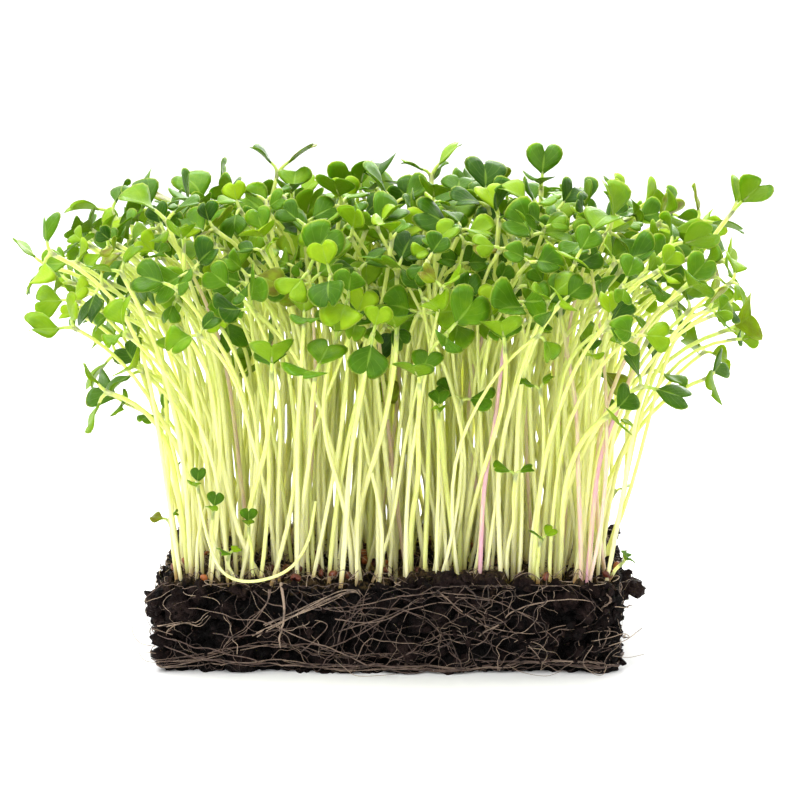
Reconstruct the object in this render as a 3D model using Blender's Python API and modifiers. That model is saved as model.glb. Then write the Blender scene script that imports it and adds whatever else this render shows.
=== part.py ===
"""A block of potting soil, moulded by the punnet it grew in, with a dense stand of brassica microgreens.

The block stands on its flat underside. X runs along the block's long front face, Y runs from front to back
and Z points up. The origin is the middle of the underside. Sizes are in metres.
"""

import math
import random

import bmesh
import bpy
from mathutils import Matrix, Vector, noise

MM = 0.001
SEED = 41
SHARP_ANGLE = math.radians(40)

# The soil block, whose sides lean out a little from the foot as the punnet's did
BLOCK_WIDTH = 122.5 * MM
BLOCK_DEPTH = 88.0 * MM
BLOCK_HEIGHT = 24.0 * MM
SIDE_DRAFT = 1.8 * MM
CORNER_ROUND = 3.0 * MM
TOP_RELIEF = 1.7 * MM
SIDE_DENT = 2.2 * MM
RIM_CRUMBLE = 2.4 * MM
SOIL_COLUMNS = 13
SOIL_ROWS = 9
SOIL_LAYERS = 3

# The sprouts stand in clumps, and each clump shares one hole in the soil
CLUMP_COLUMNS = 8
CLUMP_ROWS = 6
SPROUTS_IN_CLUMP = 2
CLUMP_EDGE = 6.5 * MM
CLUMP_SHIFT = 2.2 * MM
TAPROOT_RADIUS = 2.1 * MM
TAPROOT_DEPTH = 10.0 * MM
HOLE_GAP = 0.35 * MM
HOLE_SIDES = 6
STEM_RADIUS = 0.82 * MM
STEM_TIP_RADIUS = 0.60 * MM
STEM_SEGMENTS = 4
STEM_BEND = math.radians(32)
STEM_EASE = 0.8
STEM_SPACING = 0.9 * MM

# The seed leaves, in pairs on each stem
BLADE_LENGTH = 7.8 * MM
BLADE_THICKNESS = 0.62 * MM
BLADE_STEPS = (0.25, 0.60, 0.86)
PETIOLE_LENGTH = 3.2 * MM
PETIOLE_WIDTH = 1.3 * MM
SMALLER_LEAF = 0.80
BLADE_CURVE = ((0.0, 0.05), (0.10, 0.70), (1.45, 1.06), (0.84, 0.0))

# The dome that the seed leaves fill
CANOPY_TOP = 127.0 * MM
SIDE_DROP = 12.0 * MM
FRONT_DROP = 22.0 * MM
CANOPY_HALF_WIDTH = 92.0 * MM
CANOPY_HALF_DEPTH = 66.0 * MM
LOW_SHARE = 0.30
LOWEST_HEAD = 66.0 * MM
CLEARANCE = 0.42 * MM
LEAF_REACH = 0.85 * MM
STANDOUT_STEP = 0.12 * MM
TRIES = 300

# The roots that lie over the block's sides
ROOT_RADIUS = 0.42 * MM
ROOT_GAP = 0.45 * MM
ROOT_BAND_HEIGHT = 3.0 * MM
ROOT_BAND_RADIUS = 0.9 * MM
ROOT_BAND_POINTS = 56
ROOT_THREADS = 11
ROOT_POINTS = 7

# The husks of the seeds, fused into the top of the soil
HUSK_RADIUS = 1.5 * MM
HUSKS = 9

# Sprouts that stand out in the stand, set by hand: where they root, where the head is, the way the stem's
# tip points, the turn of the leaf pair in degrees, how far each leaf spreads from the stem, and their size.
# Lengths are in millimetres.
STANDOUTS = (
    ((-50, -8), (-91, -12, 102), (-1.0, 0.0, 0.20), -90, (28, 66), 1.00),
    ((-56, -24), (-73, -36, 72), (-1.0, -0.1, 0.25), 90, (78, 36), 1.00),
    ((-54, 4), (-80, 2, 108), (-0.8, 0.1, 0.5), 40, (60, 70), 1.10),
    ((-46, 22), (-76, 12, 114), (-0.5, 0.0, 0.8), 120, (50, 60), 1.10),
    ((-52, -20), (-64, -36, 78), (-0.6, -0.3, 0.6), 160, (50, 60), 1.10),
    ((52, 8), (90, 6, 115), (0.6, 0.0, 0.8), 20, (16, 34), 1.10),
    ((50, -16), (87, -18, 86), (1.0, -0.1, 0.3), -20, (44, 62), 1.20),
    ((46, 20), (80, 14, 110), (0.9, 0.0, 0.5), 70, (40, 70), 1.10),
    ((54, -30), (64, -43, 75), (0.7, -0.4, 0.45), 120, (50, 70), 1.15),
    ((38, -4), (39, -1, 122), (0.05, -0.1, 1.0), 80, (12, 60), 1.00),
    ((-28, 16), (-31, 12, 125), (0.30, 0.0, 1.0), -8, (34, 60), 1.10),
    ((8, 4), (10, 2, 125), (0.0, -0.1, 1.0), 12, (40, 62), 1.00),
    ((-38, -38), (-29, -56, 80), (0.0, -0.35, 1.0), 96, (20, 80), 1.10),
    ((-22, -38), (-18, -58, 80), (0.1, -0.4, 1.0), 60, (60, 70), 1.25),
    ((4, -38), (8, -58, 78), (0.0, -0.4, 1.0), 74, (36, 62), 1.05),
    ((24, -38), (29, -56, 87), (-0.1, -0.4, 1.0), 102, (24, 85), 1.10),
    ((-6, -26), (2, -50, 89), (0.0, -0.4, 1.0), 80, (30, 70), 1.00),
    ((-4, -16), (2, -44, 104), (0.0, -0.4, 1.0), 66, (50, 50), 1.30),
)


def blade_margin(t):
    """One half of a notched seed leaf's edge, from the petiole at t 0 to the notch at t 1.

    It returns how far along the leaf and how far across it the edge is, as shares of the leaf's length.
    """
    u = 1 - t
    weights = (u**3, 3 * u * u * t, 3 * u * t * t, t**3)
    along = sum(w * p[0] for w, p in zip(weights, BLADE_CURVE))
    across = sum(w * p[1] for w, p in zip(weights, BLADE_CURVE))
    return along, across


def soil_half_sizes(z):
    """Half the block's width and depth at a height, without its relief."""
    inset = SIDE_DRAFT * (1 - min(max(z / BLOCK_HEIGHT, 0), 1))
    return BLOCK_WIDTH / 2 - inset, BLOCK_DEPTH / 2 - inset


def soil_top(x, y):
    """The height of the block's lumpy top."""
    lumps = noise.noise(Vector((x / (15 * MM), y / (15 * MM), 3.7)))
    grains = noise.noise(Vector((x / (6 * MM), y / (6 * MM), 9.1)))
    return BLOCK_HEIGHT + TOP_RELIEF * (0.75 * lumps + 0.35 * grains)


class Leaf:
    """One notched seed leaf: a frame at the stem's head, a size, a fold along the rib and a droop."""

    def __init__(self, head, tangent, side, spread, size, fold, droop):
        self.root = head
        self.out = (tangent * math.cos(spread) + side * math.sin(spread)).normalized()
        self.face = (tangent * math.sin(spread) - side * math.cos(spread)).normalized()
        self.wide = self.face.cross(self.out)
        self.length = BLADE_LENGTH * size
        self.petiole = PETIOLE_LENGTH * size
        self.fold = fold
        self.droop = droop

    def place(self, along, across):
        """A point of the leaf. along is measured from the stem's head and across from the rib."""
        past = max(along - self.petiole, 0.0)
        height = self.fold * (math.hypot(across, 0.6 * MM) - 0.6 * MM)
        height -= self.droop * past * past / self.length
        return self.root + self.out * along + self.wide * across + self.face * height

    def edge(self, t, side):
        along, across = blade_margin(t)
        return self.place(self.petiole + along * self.length, side * across * self.length)

    def samples(self):
        """Points spread over the leaf, each with the radius it needs kept clear."""
        found = []
        for t in (0.15, 0.3, 0.45, 0.6, 0.75, 0.9):
            along, across = blade_margin(t)
            for share in (-1.0, -0.67, -0.33, 0.0, 0.33, 0.67, 1.0):
                rib = 0.84 * t
                reach = rib + (along - rib) * abs(share)
                point = self.place(self.petiole + reach * self.length, share * across * self.length)
                found.append((point, LEAF_REACH))
        return found


class Sprout:
    """A stem on a smooth curve from its foot to its head, with two seed leaves."""

    def __init__(self, foot, head, lean, turn, spreads, size, folds, droops):
        self.size = size
        self.head = head
        rise = head.z - foot.z
        tip = lean.normalized()
        bow = Vector(((head.x - foot.x) * 0.10, (head.y - foot.y) * 0.10, rise * 0.46))
        self.controls = (foot, foot + bow, head - tip * (rise * 0.40), head)
        upright = Vector((0, 0, 1)) if abs(tip.z) < 0.95 else Vector((0, -1, 0))
        first = tip.cross(upright).normalized()
        second = tip.cross(first)
        side = first * math.cos(turn) + second * math.sin(turn)
        self.leaves = (
            Leaf(head, tip, side, spreads[0], size, folds[0], droops[0]),
            Leaf(head, tip, -side, spreads[1], size * SMALLER_LEAF, folds[1], droops[1]),
        )

    def point(self, t):
        a, b, c, d = self.controls
        u = 1 - t
        return a * u**3 + b * (3 * u * u * t) + c * (3 * u * t * t) + d * t**3

    def radius(self, t):
        return STEM_RADIUS + (STEM_TIP_RADIUS - STEM_RADIUS) * t

    def steps(self):
        """Where along the stem its straight pieces meet. A stem that bends more has more of them."""
        bend = (self.controls[1] - self.controls[0]).angle(self.controls[3] - self.controls[2])
        count = STEM_SEGMENTS + int(bend / STEM_BEND)
        return [(i / count) ** STEM_EASE for i in range(count + 1)]

    def samples(self):
        """Points along the stem, above the soil, and over the leaves, with the radius each needs."""
        count = max(8, int((self.head.z - self.controls[0].z) / (1.6 * MM)))
        found = [(self.point(i / count), self.radius(i / count)) for i in range(count + 1)]
        corners = [self.point(t) for t in self.steps()]
        found += [((a + b) / 2, STEM_RADIUS) for a, b in zip(corners, corners[1:])]
        return found + self.leaves[0].samples() + self.leaves[1].samples()


class Space:
    """What is already taken, kept in cells, so that a new sprout can be tested against its neighbours."""

    CELL = 3.2 * MM

    def __init__(self):
        self.cells = {}

    def key(self, point):
        return tuple(int(math.floor(c / self.CELL)) for c in point)

    def add(self, samples, owner):
        for point, radius in samples:
            self.cells.setdefault(self.key(point), []).append((point, radius, owner))

    def is_free(self, samples, owner):
        """True where every point keeps clear of what is there, apart from the owner's own foot."""
        for point, radius in samples:
            near_foot = point.z < BLOCK_HEIGHT + 9 * MM
            kx, ky, kz = self.key(point)
            for x in (kx - 1, kx, kx + 1):
                for y in (ky - 1, ky, ky + 1):
                    for z in (kz - 1, kz, kz + 1):
                        for other, other_radius, other_owner in self.cells.get((x, y, z), ()):
                            if near_foot and other_owner == owner:
                                continue
                            if (point - other).length < radius + other_radius + CLEARANCE:
                                return False
        return True


def canopy_height(x, y):
    """The top of the dome of leaves over a point of the plan."""
    across = SIDE_DROP * min(abs(x) / CANOPY_HALF_WIDTH, 1.1) ** 3
    deep = FRONT_DROP * min(abs(y) / CANOPY_HALF_DEPTH, 1.1) ** 3
    return CANOPY_TOP - max(across, deep)


def fits_canopy(samples):
    """True where a sprout stays inside the dome."""
    for point, _ in samples:
        if abs(point.x) > CANOPY_HALF_WIDTH or abs(point.y) > CANOPY_HALF_DEPTH + 4 * MM:
            return False
        if point.z > canopy_height(point.x, point.y) + 3 * MM:
            return False
    return True


def random_sprout(foot, crowding, rng):
    """A sprout on a foot, leaning out of the stand the more the nearer it is to the edge.

    crowding, from 0 to 1, lowers the head and spreads it wider, for a foot whose first places are taken.
    """
    u = foot.x / (BLOCK_WIDTH / 2)
    v = foot.y / (BLOCK_DEPTH / 2)
    wander = (5.5 + 5 * crowding) * MM
    x = foot.x * (1 + 0.52 * abs(u) ** 1.5) + rng.gauss(0, wander)
    y = foot.y * (1 + 0.42 * abs(v) ** 1.6) + rng.gauss(0, wander)
    edge = max(abs(u), abs(v))
    top = canopy_height(x, y) - 6 * MM - abs(rng.gauss(0, (8 + 14 * crowding) * MM))
    if rng.random() < LOW_SHARE * (0.4 + edge):
        top = rng.uniform(LOWEST_HEAD, top)
    head = Vector((x, y, top))
    out = head - foot
    lean = Vector((out.x * 1.7, out.y * 1.5, 0.52 * out.z))
    lean += Vector((rng.gauss(0, 9 * MM), rng.gauss(-14 * MM, 12 * MM), 0))
    spreads = (math.radians(rng.uniform(24, 78)), math.radians(rng.uniform(30, 84)))
    folds = (rng.uniform(-0.1, 0.5), rng.uniform(-0.1, 0.5))
    droops = (rng.uniform(-0.05, 0.3), rng.uniform(-0.05, 0.3))
    turn = rng.uniform(0, 2 * math.pi)
    return Sprout(foot, head, lean, turn, spreads, rng.uniform(0.78, 1.15), folds, droops)


def standout_sprout(foot, row, shift):
    """A sprout that is set by hand, with its head shifted a little."""
    _, head, lean, turn, spreads, size = row
    head = Vector(head) * MM + shift
    angles = tuple(math.radians(s) for s in spreads)
    return Sprout(foot, head, Vector(lean), math.radians(turn), angles, size, (0.16, 0.2), (0.1, 0.1))


def clump_centres(rng):
    """The middles of the clumps' holes: rows that are set out like bricks, each shifted a little."""
    width = BLOCK_WIDTH - 2 * CLUMP_EDGE
    depth = BLOCK_DEPTH - 2 * CLUMP_EDGE
    centres = []
    for row in range(CLUMP_ROWS):
        for column in range(CLUMP_COLUMNS):
            brick = 0.25 if row % 2 else -0.25
            x = ((column + 0.5 + brick) / CLUMP_COLUMNS - 0.5) * width + rng.uniform(-1, 1) * CLUMP_SHIFT
            y = ((row + 0.5) / CLUMP_ROWS - 0.5) * depth + rng.uniform(-1, 1) * CLUMP_SHIFT
            centres.append(Vector((x, y, 0)))
    return centres


def stem_foot(centre, slot, angle):
    """Where one of a clump's stems starts, inside the shared taproot."""
    turn = angle + slot * 2 * math.pi / SPROUTS_IN_CLUMP
    x = centre.x + STEM_SPACING * math.cos(turn)
    y = centre.y + STEM_SPACING * math.sin(turn)
    return Vector((x, y, soil_top(centre.x, centre.y) - 2.5 * MM))


def plan_sprouts():
    """All sprouts, as a list of clumps: each the middle of its hole and its sprouts."""
    rng = random.Random(SEED)
    centres = clump_centres(rng)
    angles = [rng.uniform(0, math.pi) for _ in centres]
    clumps = [(centre, []) for centre in centres]
    space = Space()
    for row in STANDOUTS:
        index, sprout = place_standout(row, clumps, angles, space, rng)
        space.add(sprout.samples(), index)
        clumps[index][1].append(sprout)
    for index, (centre, sprouts) in enumerate(clumps):
        while len(sprouts) < SPROUTS_IN_CLUMP:
            foot = stem_foot(centre, len(sprouts), angles[index])
            sprout = next_free_sprout(foot, index, space, rng)
            if sprout is None:
                break
            space.add(sprout.samples(), index)
            sprouts.append(sprout)
    return clumps


def place_standout(row, clumps, angles, space, rng):
    """The hand-set sprout, on a clump near its place, with its head shifted until it crosses nothing."""
    hint = Vector((row[0][0] * MM, row[0][1] * MM, 0))
    open_clumps = [i for i, clump in enumerate(clumps) if len(clump[1]) < SPROUTS_IN_CLUMP]
    nearest = sorted(open_clumps, key=lambda i: (clumps[i][0] - hint).length)[:5]
    for attempt in range(TRIES // 4):
        shift = Vector([rng.gauss(0, attempt * STANDOUT_STEP) for _ in range(3)])
        for index in nearest:
            centre, sprouts = clumps[index]
            sprout = standout_sprout(stem_foot(centre, len(sprouts), angles[index]), row, shift)
            if space.is_free(sprout.samples(), index):
                return index, sprout
    raise ValueError(f"No room for the sprout at {row[1]}")


def next_free_sprout(foot, owner, space, rng):
    """The first of a run of random sprouts that crosses nothing, or None."""
    for attempt in range(TRIES):
        sprout = random_sprout(foot, attempt / TRIES, rng)
        samples = sprout.samples()
        if fits_canopy(samples) and space.is_free(samples, owner):
            return sprout
    return None


def finish(obj, material_name, colour, roughness):
    """Gives a node its material, and shades it smooth but for its sharp edges."""
    material = bpy.data.materials.new(material_name)
    material.use_nodes = True
    shader = material.node_tree.nodes["Principled BSDF"]
    shader.inputs["Base Color"].default_value = (*colour, 1.0)
    shader.inputs["Roughness"].default_value = roughness
    shader.inputs["Metallic"].default_value = 0.0
    obj.data.materials.clear()
    obj.data.materials.append(material)
    obj.data.shade_smooth()
    obj.data.set_sharp_from_angle(angle=SHARP_ANGLE)


def new_object(name, data, collection):
    obj = bpy.data.objects.new(name, data)
    collection.objects.link(obj)
    return obj


def object_from_bmesh(bm, name, collection):
    """A new object from a bmesh, which is freed."""
    mesh = bpy.data.meshes.new(name)
    bm.to_mesh(mesh)
    bm.free()
    return new_object(name, mesh, collection)


def applied_mesh(obj):
    """The object's mesh with its modifiers or its bevel applied."""
    bpy.context.view_layer.update()
    graph = bpy.context.evaluated_depsgraph_get()
    return bpy.data.meshes.new_from_object(obj.evaluated_get(graph))


def weld(mesh):
    """Joins a curve's loose caps to its tube, and turns all faces outward."""
    bm = bmesh.new()
    bm.from_mesh(mesh)
    bmesh.ops.remove_doubles(bm, verts=bm.verts, dist=0.001 * MM)
    bmesh.ops.recalc_face_normals(bm, faces=bm.faces)
    bm.to_mesh(mesh)
    bm.free()


def tube(name, points, radii, collection, ring=False):
    """A square-sectioned tube along a curve through the points, as a mesh. A ring has no ends."""
    curve = bpy.data.curves.new(name, "CURVE")
    curve.dimensions = "3D"
    curve.bevel_depth = 1.0
    curve.bevel_resolution = 0
    curve.use_fill_caps = not ring
    spline = curve.splines.new("POLY")
    spline.points.add(len(points) - 1)
    spline.use_cyclic_u = ring
    for target, point, radius in zip(spline.points, points, radii):
        target.co = (*point, 1.0)
        target.radius = radius
    path = new_object(name, curve, collection)
    mesh = applied_mesh(path)
    weld(mesh)
    bpy.data.objects.remove(path)
    return new_object(name, mesh, collection)


def apply_boolean(target, operation, tools):
    """Applies one Boolean of a whole collection to the target, and removes the tools."""
    cutters = bpy.data.collections.new("cutters")
    bpy.context.scene.collection.children.link(cutters)
    for tool in tools:
        tool.hide_render = True
        tool.display_type = "WIRE"
        cutters.objects.link(tool)
        bpy.context.scene.collection.objects.unlink(tool)
    modifier = target.modifiers.new("boolean", "BOOLEAN")
    modifier.operation = operation
    modifier.operand_type = "COLLECTION"
    modifier.collection = cutters
    modifier.solver = "EXACT"
    mesh = applied_mesh(target)
    target.modifiers.clear()
    target.data = mesh
    for tool in tools:
        bpy.data.objects.remove(tool)
    bpy.data.collections.remove(cutters)


def stem_object(sprout, collection):
    steps = sprout.steps()
    return tube("stem", [sprout.point(t) for t in steps], [sprout.radius(t) for t in steps], collection)


def leaf_pair_object(leaves, collection):
    """Both leaves of a pair: one open sheet from tip to tip, folded along the ribs, then thickened."""
    bm = bmesh.new()
    roots = [bm.verts.new(leaves[0].place(0.0, side * PETIOLE_WIDTH / 2)) for side in (-1, 1)]
    for leaf, ends in ((leaves[0], roots), (leaves[1], roots[::-1])):
        notch = bm.verts.new(leaf.edge(1.0, 1))
        necks = []
        for side in (-1, 1):
            neck = bm.verts.new(leaf.place(leaf.petiole, side * PETIOLE_WIDTH / 2))
            edge = [bm.verts.new(leaf.edge(t, side)) for t in BLADE_STEPS] + [notch]
            for near, far in zip(edge, edge[1:]):
                bm.faces.new((neck, near, far))
            necks.append(neck)
        bm.faces.new((ends[0], ends[1], necks[1], necks[0]))
        bm.faces.new((necks[0], necks[1], notch))
    bmesh.ops.recalc_face_normals(bm, faces=bm.faces)
    pair = object_from_bmesh(bm, "leaf_pair", collection)
    solidify = pair.modifiers.new("thickness", "SOLIDIFY")
    solidify.thickness = BLADE_THICKNESS
    solidify.offset = 0.0
    pair.data = applied_mesh(pair)
    pair.modifiers.clear()
    return pair


def cone(name, centre, low, high, low_radius, high_radius, sides, collection):
    """A closed upright cone or cylinder between two heights."""
    bm = bmesh.new()
    place = Matrix.Translation((centre.x, centre.y, (low + high) / 2))
    bmesh.ops.create_cone(bm, cap_ends=True, segments=sides, radius1=low_radius, radius2=high_radius,
                          depth=high - low, matrix=place)
    return object_from_bmesh(bm, name, collection)


def build_clump(number, centre, sprouts, collection):
    """One node: a shared taproot with its stems and seed leaves, fused into one body."""
    name = f"sprout_clump_{number:02d}"
    top = soil_top(centre.x, centre.y) + 0.2 * MM
    clump = cone(name, centre, top - TAPROOT_DEPTH, top, TAPROOT_RADIUS * 0.35, TAPROOT_RADIUS, 6, collection)
    loose = bpy.context.scene.collection
    pieces = []
    for sprout in sprouts:
        pieces.append(stem_object(sprout, loose))
        pieces.append(leaf_pair_object(sprout.leaves, loose))
    apply_boolean(clump, "UNION", pieces)
    shade = 0.9 + 0.02 * ((number * 7) % 10)
    finish(clump, name, (0.28 * shade, 0.50 * shade, 0.10), 0.5)


def slice_mesh(bm, axis, cuts, low, high):
    """Cuts a mesh into even slices square to an axis."""
    normal = Vector((0, 0, 0))
    normal[axis] = 1
    for i in range(1, cuts):
        place = normal * (low + (high - low) * i / cuts)
        geometry = bm.verts[:] + bm.edges[:] + bm.faces[:]
        bmesh.ops.bisect_plane(bm, geom=geometry, plane_co=place, plane_no=normal)


def weather_soil(point):
    """Moves a point of a unit block to where the moulded, crumbling soil has it, on a flat underside."""
    across, deep, up = point.x * 2, point.y * 2, max(point.z, 0.0)
    z = up * BLOCK_HEIGHT
    half_width, half_depth = soil_half_sizes(z)
    x, y = across * half_width, deep * half_depth
    spot = Vector((x, y, z)) / (9 * MM)
    dent = SIDE_DENT * max(0.0, 0.35 + noise.noise(spot * 0.8 + Vector((4, 1, 7))))
    on_x, on_y, on_top = abs(across) > 0.999, abs(deep) > 0.999, up > 0.999
    if on_top:
        z = soil_top(x, y)
    if on_top and (on_x or on_y):
        z -= RIM_CRUMBLE * abs(noise.noise(spot + Vector((0, 0, 5))))
        dent += RIM_CRUMBLE * 0.4
    if on_x and on_y:
        dent += CORNER_ROUND * 0.4
    if on_x:
        x -= math.copysign(dent, across)
    if on_y:
        y -= math.copysign(dent, deep)
    return Vector((x, y, z))


def husk_spots(rng, clumps):
    """Places for the seed husks on the top of the soil, clear of the stems' holes and of each other."""
    spots = []
    while len(spots) < HUSKS:
        spot = Vector((rng.uniform(-0.47, 0.47) * BLOCK_WIDTH, rng.uniform(-0.48, 0.3) * BLOCK_DEPTH, 0))
        clear = all((spot - centre).length > 5.4 * MM for centre, _ in clumps)
        if clear and all((spot - other).length > 4 * MM for other in spots):
            spots.append(spot)
    return spots


def build_soil(clumps, collection):
    """The moulded block of soil, with husks fused to its top and a plain hole for each clump."""
    bm = bmesh.new()
    bmesh.ops.create_cube(bm, size=1.0, matrix=Matrix.Translation((0, 0, 0.5)))
    slice_mesh(bm, 0, SOIL_COLUMNS, -0.5, 0.5)
    slice_mesh(bm, 1, SOIL_ROWS, -0.5, 0.5)
    slice_mesh(bm, 2, SOIL_LAYERS, 0.0, 1.0)
    underside = [v for v in bm.verts if v.co.z < 0.001 and max(abs(v.co.x), abs(v.co.y)) < 0.499]
    bmesh.ops.dissolve_verts(bm, verts=underside)
    for vertex in bm.verts:
        vertex.co = weather_soil(vertex.co)
    bmesh.ops.triangulate(bm, faces=bm.faces)
    soil = object_from_bmesh(bm, "soil_block", collection)
    loose = bpy.context.scene.collection
    husks = []
    for spot in husk_spots(random.Random(SEED + 1), clumps):
        bm = bmesh.new()
        place = Matrix.Translation((spot.x, spot.y, soil_top(spot.x, spot.y) + 0.4 * HUSK_RADIUS))
        bmesh.ops.create_icosphere(bm, subdivisions=1, radius=HUSK_RADIUS, matrix=place)
        husks.append(object_from_bmesh(bm, "husk", loose))
    apply_boolean(soil, "UNION", husks)
    radius = (TAPROOT_RADIUS + HOLE_GAP) / math.cos(math.pi / HOLE_SIDES)
    holes = []
    for centre, _ in clumps:
        low = soil_top(centre.x, centre.y) - TAPROOT_DEPTH - HOLE_GAP
        holes.append(cone("hole", centre, low, BLOCK_HEIGHT + 8 * MM, radius, radius, HOLE_SIDES, loose))
    apply_boolean(soil, "DIFFERENCE", holes)
    finish(soil, "potting_soil", (0.026, 0.018, 0.014), 0.92)


def around_block(share, z, off):
    """A point on the way round the block at a height, a little off the soil of its four sides.

    share is how far round it is, from the front left corner along the front.
    """
    half_width, half_depth = soil_half_sizes(z)
    flat_x = half_width + off - CORNER_ROUND
    flat_y = half_depth + off - CORNER_ROUND
    bend = CORNER_ROUND * math.pi / 2
    left = (share % 1.0) * (4 * (flat_x + flat_y) + 4 * bend)
    sides = (
        ((-flat_x, -flat_y), (1, 0), 2 * flat_x),
        ((flat_x, -flat_y), (0, 1), 2 * flat_y),
        ((flat_x, flat_y), (-1, 0), 2 * flat_x),
        ((-flat_x, flat_y), (0, -1), 2 * flat_y),
    )
    for start, ahead, run in sides:
        pivot = Vector((*start, z))
        ahead = Vector((*ahead, 0))
        outward = Vector((ahead.y, -ahead.x, 0))
        if left <= run:
            return pivot + ahead * left + outward * CORNER_ROUND
        left -= run
        if left <= bend:
            turn = left / CORNER_ROUND
            return pivot + ahead * run + (outward * math.cos(turn) + ahead * math.sin(turn)) * CORNER_ROUND
        left -= bend
    return pivot


def root_thread_points(rng):
    """A root that leaves the band, climbs one side in a loose wave and runs along it."""
    start = rng.random()
    reach = rng.choice((-1, 1)) * rng.uniform(0.05, 0.13)
    climb = rng.uniform(6, 17) * MM
    wave = rng.uniform(0.4, 1.6) * MM
    phase = rng.uniform(0, math.pi)
    off = ROOT_GAP + ROOT_RADIUS + rng.uniform(0.05, 0.4) * MM
    points = []
    for i in range(ROOT_POINTS):
        t = i / (ROOT_POINTS - 1)
        z = ROOT_BAND_HEIGHT + climb * math.sin(t * math.pi * 0.62) + wave * math.sin(t * 7 + phase) * t
        z = min(z, BLOCK_HEIGHT - 4 * MM)
        points.append(around_block(start + reach * t**0.8, z, off))
    return points


def build_root_net(collection):
    """The roots on the block's sides, fused where they cross and to the mat that runs round the foot."""
    rng = random.Random(SEED + 2)
    band = []
    for i in range(ROOT_BAND_POINTS):
        share = i / ROOT_BAND_POINTS
        z = ROOT_BAND_HEIGHT + 0.7 * MM * math.sin(share * 2 * math.pi * 5)
        band.append(around_block(share, z, ROOT_GAP + ROOT_BAND_RADIUS))
    net = tube("root_net", band, [ROOT_BAND_RADIUS] * ROOT_BAND_POINTS, collection, ring=True)
    loose = bpy.context.scene.collection
    threads = []
    for _ in range(ROOT_THREADS):
        radii = [ROOT_RADIUS * (1.1 - 0.4 * i / (ROOT_POINTS - 1)) for i in range(ROOT_POINTS)]
        threads.append(tube("thread", root_thread_points(rng), radii, loose))
    apply_boolean(net, "UNION", threads)
    finish(net, "root", (0.30, 0.22, 0.15), 0.8)


def main():
    for obj in list(bpy.data.objects):
        bpy.data.objects.remove(obj)
    collection = bpy.data.collections.new("microgreens_block")
    bpy.context.scene.collection.children.link(collection)
    clumps = plan_sprouts()
    build_soil(clumps, collection)
    build_root_net(collection)
    for number, (centre, sprouts) in enumerate(clumps, start=1):
        build_clump(number, centre, sprouts, collection)


main()
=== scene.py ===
"""A block of potting soil with a dense stand of brassica microgreens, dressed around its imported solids.

Lengths are in metres. X runs along the block's long front face, Y from front to back and Z up.
"""

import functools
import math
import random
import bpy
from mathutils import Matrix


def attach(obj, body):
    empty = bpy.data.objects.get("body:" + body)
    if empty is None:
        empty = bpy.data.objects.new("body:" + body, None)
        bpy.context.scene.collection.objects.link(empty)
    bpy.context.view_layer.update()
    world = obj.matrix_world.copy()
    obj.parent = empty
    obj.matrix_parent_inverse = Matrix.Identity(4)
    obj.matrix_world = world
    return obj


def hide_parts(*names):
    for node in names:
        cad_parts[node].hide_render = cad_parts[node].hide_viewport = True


bl_info = {
    "name": "Microgreens Block",
    "version": (1, 0, 0),
    "blender": (4, 5, 0),
    "location": "3D Viewport > Sidebar > Microgreens",
    "description": "Builds a soil block with roots, husks and a stand of sprouts around the packed model",
    "category": "Add Mesh",
}

import bmesh
import bpy
import numpy as np
from bpy.props import FloatProperty, FloatVectorProperty, IntProperty, PointerProperty
from mathutils import Euler, Vector, noise

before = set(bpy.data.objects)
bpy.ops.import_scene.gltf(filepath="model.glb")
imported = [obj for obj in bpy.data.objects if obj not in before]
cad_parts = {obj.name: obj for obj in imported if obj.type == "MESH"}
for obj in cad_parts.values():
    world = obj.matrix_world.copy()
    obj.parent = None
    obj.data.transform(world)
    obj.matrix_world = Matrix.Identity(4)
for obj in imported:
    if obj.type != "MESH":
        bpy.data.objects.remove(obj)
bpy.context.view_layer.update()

MM = 0.001
SEED = 41
BODY = "root"

# The soil block
BLOCK_WIDTH = 122.5 * MM
BLOCK_DEPTH = 88.0 * MM
BLOCK_HEIGHT = 24.0 * MM
SIDE_DRAFT = 1.8 * MM
CORNER_ROUND = 3.0 * MM
TOP_RELIEF = 1.7 * MM
SIDE_DENT = 2.2 * MM
RIM_ROUND = 2.2 * MM

# Where the soil swells or sinks: the middle and the size of each place, and how far it stands out, in
# millimetres
SWELLS = (
    ((-61, -38, 13), 8, 2.6), ((-50, -44, 19), 7, 2.2), ((14, -40, 25), 8, 2.6), ((22, -44, 22), 5, 1.5),
    ((-58, -42, 24), 6, -2.5), ((58, -40, 25), 7, -1.8), ((61, -20, 20), 7, 2.0), ((-14, -44, 23), 7, -1.2),
    ((44, -44, 14), 8, 1.6), ((-30, -44, 15), 6, -1.8), ((61, 20, 12), 9, 2.2), ((-61, 22, 16), 9, 2.2),
    ((-24, 44, 16), 9, 2.4), ((30, 44, 14), 8, 2.0), ((4, 44, 24), 8, 2.4),
)

# The clods of the soil, big and small: their size, where their pattern starts, how far they stand out and how
# deep the clefts between them are, in millimetres
CLODS = ((7.0, 3, 2.6, 2.6), (3.1, 7, 1.1, 1.2))
CLEFT_SHARE = 0.24
HOLLOW_DEPTH = 2.6 * MM
GRAIN_SIZE = 1.2 * MM
GRAIN_DEPTH = 0.55 * MM
LOWEST_RELIEF = -4.5 * MM
HIGHEST_RELIEF = 2.2 * MM
DENT_SIZE = 9 * MM
FOOT_FADE = 7 * MM

# Seed husks set one by one: where they lie, in millimetres, and how light they are
HUSKS = (
    (-47.5, -42.0, 1.0), (-24.0, -41.5, 0.45), (-27.0, -30.0, 0.95), (40.0, -42.0, 0.5), (58.5, -30.0, 0.9),
)
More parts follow.
